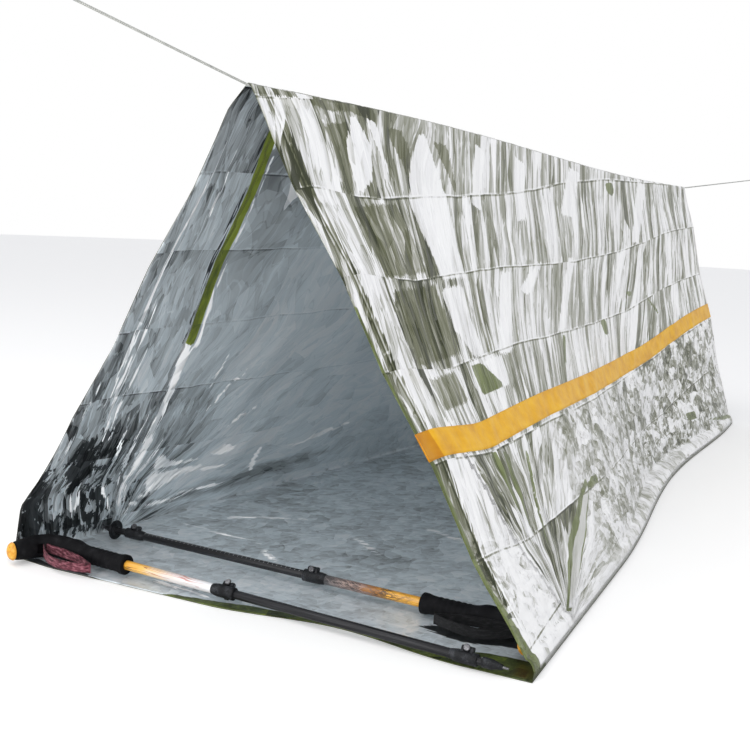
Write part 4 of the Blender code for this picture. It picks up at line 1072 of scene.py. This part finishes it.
def cut_from(bm, cutters):
    """The body with each cutter's room taken out of it."""
    made = [bpy.data.objects.new("cut", mesh_from(shape, "cut")) for shape in (bm, *cutters)]
    for used in made:
        scene.collection.objects.link(used)
    for cutter in made[1:]:
        cut = made[0].modifiers.new("Cut", "BOOLEAN")
        cut.operation = "DIFFERENCE"
        cut.solver = "EXACT"
        cut.object = cutter
    bpy.context.view_layer.update()
    result = bmesh.new()
    result.from_object(made[0], bpy.context.evaluated_depsgraph_get())
    for used in made:
        bpy.data.objects.remove(used)
    return result


def pole_piece(pole, lie, name, bm, finish, body, stands_for, sharp_from=40):
    """A finished piece of a pole, modelled along X and laid where the pole lies."""
    bmesh.ops.transform(bm, matrix=lie, verts=bm.verts)
    data = mesh_from(bm, f"{pole}_{name}", sharp_from)
    add_piece(f"{pole}_{name}", data, finish, f"{pole}_{body}", f"{pole}_pole_{stands_for}")


foam_finish, sockets = new_finish("grip_foam", (0.006, 0.006, 0.007), 0.6, more={"Specular IOR Level": 0.08})
foam_place = own_place()
foam_wear = noise(foam_place, 60.0, 5.0)
paint(sockets, foam_wear, ((0.35, 0.004, 0.004, 0.005), (0.60, 0.009, 0.009, 0.010),
                           (0.80, 0.022, 0.022, 0.024)))
join(node("MapRange", {"Value": foam_wear, "To Min": 0.45, "To Max": 0.85})[0], sockets["Roughness"])
bump(sockets, node("TexVoronoi", {"Vector": foam_place, "Scale": 900.0})["Distance"], 0.0004)

cap_finish, sockets = new_finish("grip_cap", (0.80, 0.38, 0.03), 0.38)
grain = noise(own_place(), 130.0, 4.0)
paint(sockets, grain, ((0.30, 0.55, 0.22, 0.015), (0.50, 0.80, 0.37, 0.03), (0.72, 0.88, 0.50, 0.08)))
bump(sockets, grain, 0.0005)

CAP_PROFILE = ((0, 0), (0, 0.0162), (0.0006, 0.0173), (0.0016, 0.0178), (0.003, 0.0175), (0.005, 0.0166),
               (0.0072, 0.0148), (0.009, 0.0121), (0.0106, 0.0085), (0.0116, 0.0045), (0.012, 0))
for pole, side, middle_end, lower_end, lie in poles:
    foam = lathe(grip_outline(), 56)
    bend_head(foam, side)
    bore_start, bore_end, bore_radius = UPPER_START - GAP, GRIP_LENGTH + 0.01, UPPER_RADIUS + GAP
    bore = lathe([(bore_start, 0), (bore_start, bore_radius), (bore_end, bore_radius), (bore_end, 0)], 32)
    pocket = bmesh.new()
    bmesh.ops.create_cube(pocket, size=1)
    ease_edges(pocket, pocket.edges[:], 0.06)
    bmesh.ops.scale(pocket, verts=pocket.verts, vec=POCKET_SIZE)
    bmesh.ops.translate(pocket, verts=pocket.verts, vec=(0.0085, side * 0.0054, 0))
    bmesh.ops.rotate(pocket, verts=pocket.verts, matrix=Matrix.Rotation(side * STRAP_ANGLE, 3, "Z"))
    bmesh.ops.translate(pocket, verts=pocket.verts, vec=strap_pin_spot(side))
    foam = cut_from(foam, (bore, pocket))
    pole_piece(pole, lie, "foam_grip", foam, foam_finish, "pole", "grip", 50)

    cap = lathe([(HEAD_START - GAP - ahead, radius) for ahead, radius in CAP_PROFILE])
    bend_head(cap, side)
    pole_piece(pole, lie, "head_cap", cap, cap_finish, "pole", "grip_cap")


# Wrist straps
# A closed loop of flat webbing with bound edges turns on a pin inside the bend of each grip. The front
# pole's strap is dull red and the rear one's black.

STRAP_THICKNESS = 0.0016
STRAP_LENGTH = 0.145
STRAP_INNER_SWELL = 0.010
STRAP_OUTER_SWELL = 0.025
STRAP_DROOP = 0.003
STRAP_TILT = 0.22
STRAP_STEPS = 40
STRAP_EYE = PIN_RADIUS + GAP + STRAP_THICKNESS / 2
STRAP_NEAR = STRAP_THICKNESS / 2 + GAP


def strap_line():
    """The loop seen from above: round the pin, out along the inner run, back along the outer one."""
    round_pin = [math.radians(degrees) for degrees in range(90, 271, 15)]
    line = [(STRAP_EYE * math.cos(angle), STRAP_EYE * math.sin(angle)) for angle in round_pin]
    parts = [k / STRAP_STEPS for k in range(2, STRAP_STEPS - 1)]
    runs = []
    for side, swell, lean in ((-1, STRAP_INNER_SWELL, 1.2), (1, STRAP_OUTER_SWELL, 0.85)):
        away = [STRAP_NEAR + (swell - STRAP_NEAR) * math.sin(math.pi * part ** lean) for part in parts]
        runs.append([(STRAP_LENGTH * part, side * out) for part, out in zip(parts, away)])
    inner, outer = runs
    turn = [(STRAP_LENGTH - before, STRAP_NEAR * across) for before, across in (
        (0.004, -1.4), (0.001, -0.9), (0, 0), (0.001, 0.9), (0.004, 1.4))]
    return [Vector(spot) for spot in line + inner + turn + outer[::-1]]


def webbing_loop(side):
    """Webbing with rounded edges laid along the loop, with its own length and width as its UV map."""
    line = strap_line()
    half = STRAP_THICKNESS / 2
    wide = STRAP_WIDTH / 2
    edge = [(half, 0.0005 - wide), (half * 0.8, 0.0016 - wide), (half * 0.8, wide - 0.0016),
            (half, wide - 0.0005), (half * 0.5, wide), (-half * 0.5, wide)]
    edge += [(-out, -across) for out, across in edge]
    bm = bmesh.new()
    bmesh.ops.create_grid(bm, x_segments=len(line), y_segments=len(edge), size=0.5)
    layer = bm.loops.layers.uv.new("webbing")
    lengths = np.cumsum([0] + [(line[(k + 1) % len(line)] - line[k]).length for k in range(len(line))])
    spots = {}
    for vert in bm.verts:
        k = round((vert.co.x + 0.5) * len(line))
        j = round((vert.co.y + 0.5) * len(edge))
        out, across = edge[j % len(edge)]
        spots[vert] = (lengths[k], across)
        before, here, after = (line[(k + step) % len(line)] for step in (-1, 0, 1))
        along = (after - before).normalized()
        stretch = 1 / max(0.6, (here - before).normalized().dot(along))
        spot = here + Vector((along.y, -along.x)) * out * stretch
        drop = 0
        if here.x > 0:
            drop = STRAP_TILT * max(0, here.y - STRAP_EYE) + STRAP_DROOP * (here.x / STRAP_LENGTH) ** 2
        vert.co = (spot.x, side * spot.y, across - drop)
    for face in bm.faces:
        for loop in face.loops:
            loop[layer].uv = spots[loop.vert]
    bmesh.ops.remove_doubles(bm, verts=bm.verts, dist=1e-7)
    bmesh.ops.recalc_face_normals(bm, faces=bm.faces)
    bmesh.ops.rotate(bm, verts=bm.verts, matrix=Matrix.Rotation(side * STRAP_ANGLE, 3, "Z"))
    bmesh.ops.translate(bm, verts=bm.verts, vec=strap_pin_spot(side))
    return bm


def webbing_finish(name, dark, middle, pale):
    """Woven webbing: fine cross ribs, a twill under them, and a bound edge on each side."""
    made, sockets = new_finish(name, middle, 0.62, more={"Sheen Weight": 0.06, "Specular IOR Level": 0.2})
    webbing_place = uv_place("webbing")
    place = split(webbing_place)
    ribs = math_node("SINE", times(place["X"], math.tau / 0.0011))
    twill = math_node("SINE", times(scaled(place["Y"], 1.6, place["X"]), math.tau / 0.0024))
    weave = scaled(twill, 0.5, ribs)
    bound = stepped(size_of(place["Y"]), 0.0070, 0.0076)
    level = scaled(weave, 0.07, stretched(webbing_place, (0.012, 0.004), 3.0))
    level = scaled(bound, -0.12, level)
    paint(sockets, level, ((0.25, *dark), (0.50, *middle), (0.78, *pale)))
    bump(sockets, weave, 0.0002)
    return made


STRAP_COLOURS = {"front": ("red", (0.022, 0.003, 0.006), (0.15, 0.030, 0.048), (0.50, 0.20, 0.24)),
                 "rear": ("black", (0.002, 0.002, 0.003), (0.006, 0.006, 0.007), (0.024, 0.024, 0.026))}
for pole, side, middle_end, lower_end, lie in poles:
    colour, *shades = STRAP_COLOURS[pole]
    finish = webbing_finish(colour + "_webbing", *shades)
    strap = webbing_loop(side)
    pole_piece(pole, lie, "webbing_strap", strap, finish, "strap", "wrist_strap", 60)


# Pole tubes
# Three drawn aluminium tubes slide in one another. The upper tube is lacquered yellow with a thin line
# pattern that fades out along it, and the two below are dark grey with pale length marks.

TUBE_WALL = 0.0008
MIDDLE_LENGTH = 0.520
LOWER_LENGTH = 0.450
LACQUER_END = 0.428
MARKS_PER_METRE = 100.0


def tube(start, end, outer):
    """A drawn tube with eased ends, with its length and its way round as its UV map."""
    inner = outer - TUBE_WALL
    bm = lathe([(start, inner), (end, inner), (end, outer - 0.0002), (end - 0.0003, outer),
                (start + 0.0003, outer), (start, outer - 0.0002)], ring=True)
    layer = bm.loops.layers.uv.new("round")
    for face in bm.faces:
        centre = face.calc_center_median()
        middle = math.atan2(centre.z, centre.y)
        for loop in face.loops:
            angle = math.atan2(loop.vert.co.z, loop.vert.co.y)
            turns = round((middle - angle) / math.tau)
            loop[layer].uv = (loop.vert.co.x, (angle + turns * math.tau) * outer)
    return bm


def lacquered(name, net, base_stops, line_colours, line_levels):
    """Coloured lacquer that changes along the tube, crossed by thin printed lines."""
    made, sockets = new_finish(name, (0.6, 0.4, 0.1), 0.32, more={"Coat Weight": 0.3})
    place = uv_place("round")
    part = node("MapRange", {"Value": split(place)["X"], "From Min": GRIP_LENGTH, "From Max": LACQUER_END})[0]
    drift = stretched(place, (0.030, 0.006), 3.0)
    base = ramp(scaled(less(drift, 0.5), 0.30, part), base_stops)
    lines = hairlines(place, (0.10, 0.0055), 0.045)
    if net:
        crossing = []
        for slant, size in ((0.5, (0.050, 0.0045)), (-0.5, (0.045, 0.0050))):
            turned = node("Mapping", {"Vector": place, "Rotation": (0, 0, slant)})[0]
            crossing.append(hairlines(turned, size, 0.045))
        lines = math_node("MAXIMUM", lines, math_node("MAXIMUM", *crossing))
    greys = [(place, level, level, level) for place, level in line_levels]
    weight = times(lines, node("RGBToBW", {0: ramp(part, greys)})[0])
    join(blended(weight, base, ramp(part, line_colours)), sockets["Base Color"])
    return made


UPPER_FINISHES = {
    "front": lacquered("sunrise_lacquer", False,
                       ((0.00, 0.78, 0.36, 0.03), (0.22, 0.84, 0.48, 0.10), (0.36, 0.80, 0.62, 0.40),
                        (0.55, 0.74, 0.68, 0.64), (1.00, 0.80, 0.80, 0.82)),
                       ((0.0, 0.05, 0.04, 0.015), (0.35, 0.45, 0.14, 0.03), (0.60, 0.50, 0.10, 0.06),
                        (1.0, 0.40, 0.22, 0.20)),
                       ((0.0, 1), (0.75, 0.8), (0.95, 0.05))),
    "rear": lacquered("dusk_lacquer", True,
                      ((0.00, 0.82, 0.40, 0.03), (0.30, 0.80, 0.40, 0.04), (0.48, 0.42, 0.17, 0.03),
                       (0.62, 0.060, 0.040, 0.035), (1.00, 0.035, 0.033, 0.035)),
                      ((0.0, 0.16, 0.06, 0.01), (0.45, 0.02, 0.012, 0.008), (0.62, 0.42, 0.27, 0.22),
                       (1.0, 0.30, 0.26, 0.25)),
                      ((0.0, 0.2), (0.30, 0.9), (0.80, 0.8), (1.0, 0.3)))}

shaft_finish, sockets = new_finish("grey_anodised_tube", (0.02, 0.02, 0.022), 0.36, 0.2,
                                   more={"Specular IOR Level": 0.28})
shaft_place = uv_place("round")
along = split(shaft_place)
mark_phase = math_node("FRACT", times(along["X"], MARKS_PER_METRE))
mark = stepped(size_of(less(mark_phase, 0.5)), 0.06, 0.04)
mark_side = stepped(size_of(less(along["Y"], 0.010)), 0.0024, 0.0021)
mark = times(times(mark, mark_side), 0.7)
drawn = scaled(mark, 0.9, times(stretched(shaft_place, (0.12, 0.0012)), 0.5))
paint(sockets, drawn, ((0.12, 0.007, 0.007, 0.008), (0.26, 0.016, 0.016, 0.018),
                       (0.40, 0.045, 0.047, 0.052), (0.85, 0.42, 0.42, 0.42)))

for pole, side, middle_end, lower_end, lie in poles:
    yellow, grey = (UPPER_FINISHES[pole], "tube_yellow"), (shaft_finish, "tube_black")
    for part, start, end, radius, (finish, slot), body in (
            ("upper", UPPER_START, UPPER_END, UPPER_RADIUS, yellow, "pole"),
            ("middle", middle_end - MIDDLE_LENGTH, middle_end, MIDDLE_RADIUS, grey, "middle"),
            ("lower", lower_end - LOWER_LENGTH, lower_end, LOWER_RADIUS, grey, "lower")):
        pole_piece(pole, lie, part + "_shaft", tube(start, end, radius), finish, body, part + "_tube")


# Clamps
# A moulded nylon clamp at the end of each outer tube grips the next one. Its lever turns on a steel pin
# and is drawn tight by a small blackened nut.

CLAMP_EASING = 0.0004

clamp_finish, sockets = new_finish("moulded_nylon", (0.02, 0.02, 0.022), 0.45,
                                   more={"Specular IOR Level": 0.14})
clamp_place = own_place()
grain = noise(clamp_place, 420.0, 3.0)
clamp_level = scaled(grain, 0.4, times(noise(clamp_place, 70.0, 4.0), 0.6))
paint(sockets, clamp_level, ((0.38, 0.007, 0.007, 0.008), (0.52, 0.016, 0.017, 0.019),
                             (0.66, 0.050, 0.052, 0.058)))
bump(sockets, grain, 0.0003)

steel_finish, sockets = new_finish("blackened_steel", (0.12, 0.12, 0.13), 0.36, 0.9)
grain = noise(own_place(), 500.0, 4.0)
paint(sockets, grain, ((0.35, 0.06, 0.06, 0.065), (0.55, 0.15, 0.15, 0.16), (0.75, 0.34, 0.34, 0.35)))
join(node("MapRange", {"Value": grain, "To Min": 0.25, "To Max": 0.50})[0], sockets["Roughness"])


def eased_copy(packed, least_angle):
    """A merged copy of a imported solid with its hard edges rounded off."""
    bm = bmesh.new()
    bm.from_mesh(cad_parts[packed].data)
    bmesh.ops.remove_doubles(bm, verts=bm.verts, dist=1e-5)
    bmesh.ops.dissolve_limit(bm, angle_limit=math.radians(1), verts=bm.verts, edges=bm.edges)
    least = math.radians(least_angle)
    hard = [edge for edge in bm.edges if edge.is_manifold and edge.calc_face_angle(0) > least]
    ease_edges(bm, hard, CLAMP_EASING, clamped=True)
    return bm


for pole in ("front", "rear"):
    for which, body in (("upper", pole + "_pole"), ("lower", pole + "_middle")):
        packed = f"{pole}_pole_{which}_lock_"
        for name, solid, rides_on, finish, slot, least_angle in (
                ("clamp", "sleeve", body, clamp_finish, "lock_plastic", 40),
                ("clamp_lever", "lever", f"{pole}_{which}_lever", clamp_finish, "lock_plastic", 40),
                ("clamp_nut", "screw", body, steel_finish, "steel", 50)):
            piece = f"{pole}_{which}_{name}"
            data = mesh_from(eased_copy(packed + solid, least_angle), piece, 40)
            add_piece(piece, data, finish, rides_on, packed + solid)
        refinish(packed + "pin", steel_finish)
    refinish(pole + "_pole_strap_pin", steel_finish)


# Points
# A nylon point is pressed over the end of each lower tube and holds a short hard tip. The rear pole
# keeps its small basket.

FERRULE_LENGTH = 0.034
FERRULE_OVERLAP = 0.017
FERRULE_RADIUS = 0.0084
TIP_LENGTH = 0.016
TIP_SHOWING = 0.010
TIP_RADIUS = 0.0022
BASKET_RADIUS = 0.020
BASKET_HALF = 0.00175
# The point's outside: metres past the end of the lower tube, and radius
FERRULE_PROFILE = ((0.017, 0.0039), (0.0165, 0.0043), (0.010, 0.0054), (0.004, 0.0070), (0.001, 0.0081),
                   (-0.0015, 0.0084), (-0.007, 0.0084), (-0.0078, 0.0080), (-0.009, 0.0080),
                   (-0.0098, 0.0084), (-0.0155, 0.0084), (-0.017, 0.0077))

for pole, side, middle_end, lower_end, lie in poles:
    start = lower_end - FERRULE_OVERLAP
    far = start + FERRULE_LENGTH
    socket = TIP_RADIUS + GAP
    sleeve = LOWER_RADIUS + GAP
    bore = [(start, sleeve), (lower_end + GAP, sleeve), (lower_end + GAP, socket), (far, socket)]
    ferrule = lathe(bore + [(lower_end + along, radius) for along, radius in FERRULE_PROFILE], ring=True)
    pole_piece(pole, lie, "point_sleeve", ferrule, clamp_finish, "lower", "ferrule")
    end = far + TIP_SHOWING
    tip = lathe([(end - TIP_LENGTH, 0), (end - TIP_LENGTH, TIP_RADIUS), (end - 0.0014, TIP_RADIUS),
                 (end - 0.0004, TIP_RADIUS - 0.0003), (end, TIP_RADIUS - 0.0008), (end - 0.0008, 0)], 24)
    pole_piece(pole, lie, "hard_tip", tip, steel_finish, "lower", "carbide_tip")

inner = FERRULE_RADIUS + GAP
middle = start + FERRULE_OVERLAP * 0.4
half_profile = [(1.6, inner), (1.6, inner + 0.0015), (1.0, inner + 0.0024), (0.6, inner + 0.0034),
                (0.55, BASKET_RADIUS - 0.0035), (0.95, BASKET_RADIUS - 0.0016), (0.7, BASKET_RADIUS - 0.0004)]
other_half = [(-along, radius) for along, radius in half_profile[::-1]]
basket_profile = half_profile + [(0, BASKET_RADIUS)] + other_half
basket = lathe([(middle + BASKET_HALF * along, radius) for along, radius in basket_profile], 64, ring=True)
pole_piece("rear", lie, "snow_basket", basket, clamp_finish, "lower", "basket")
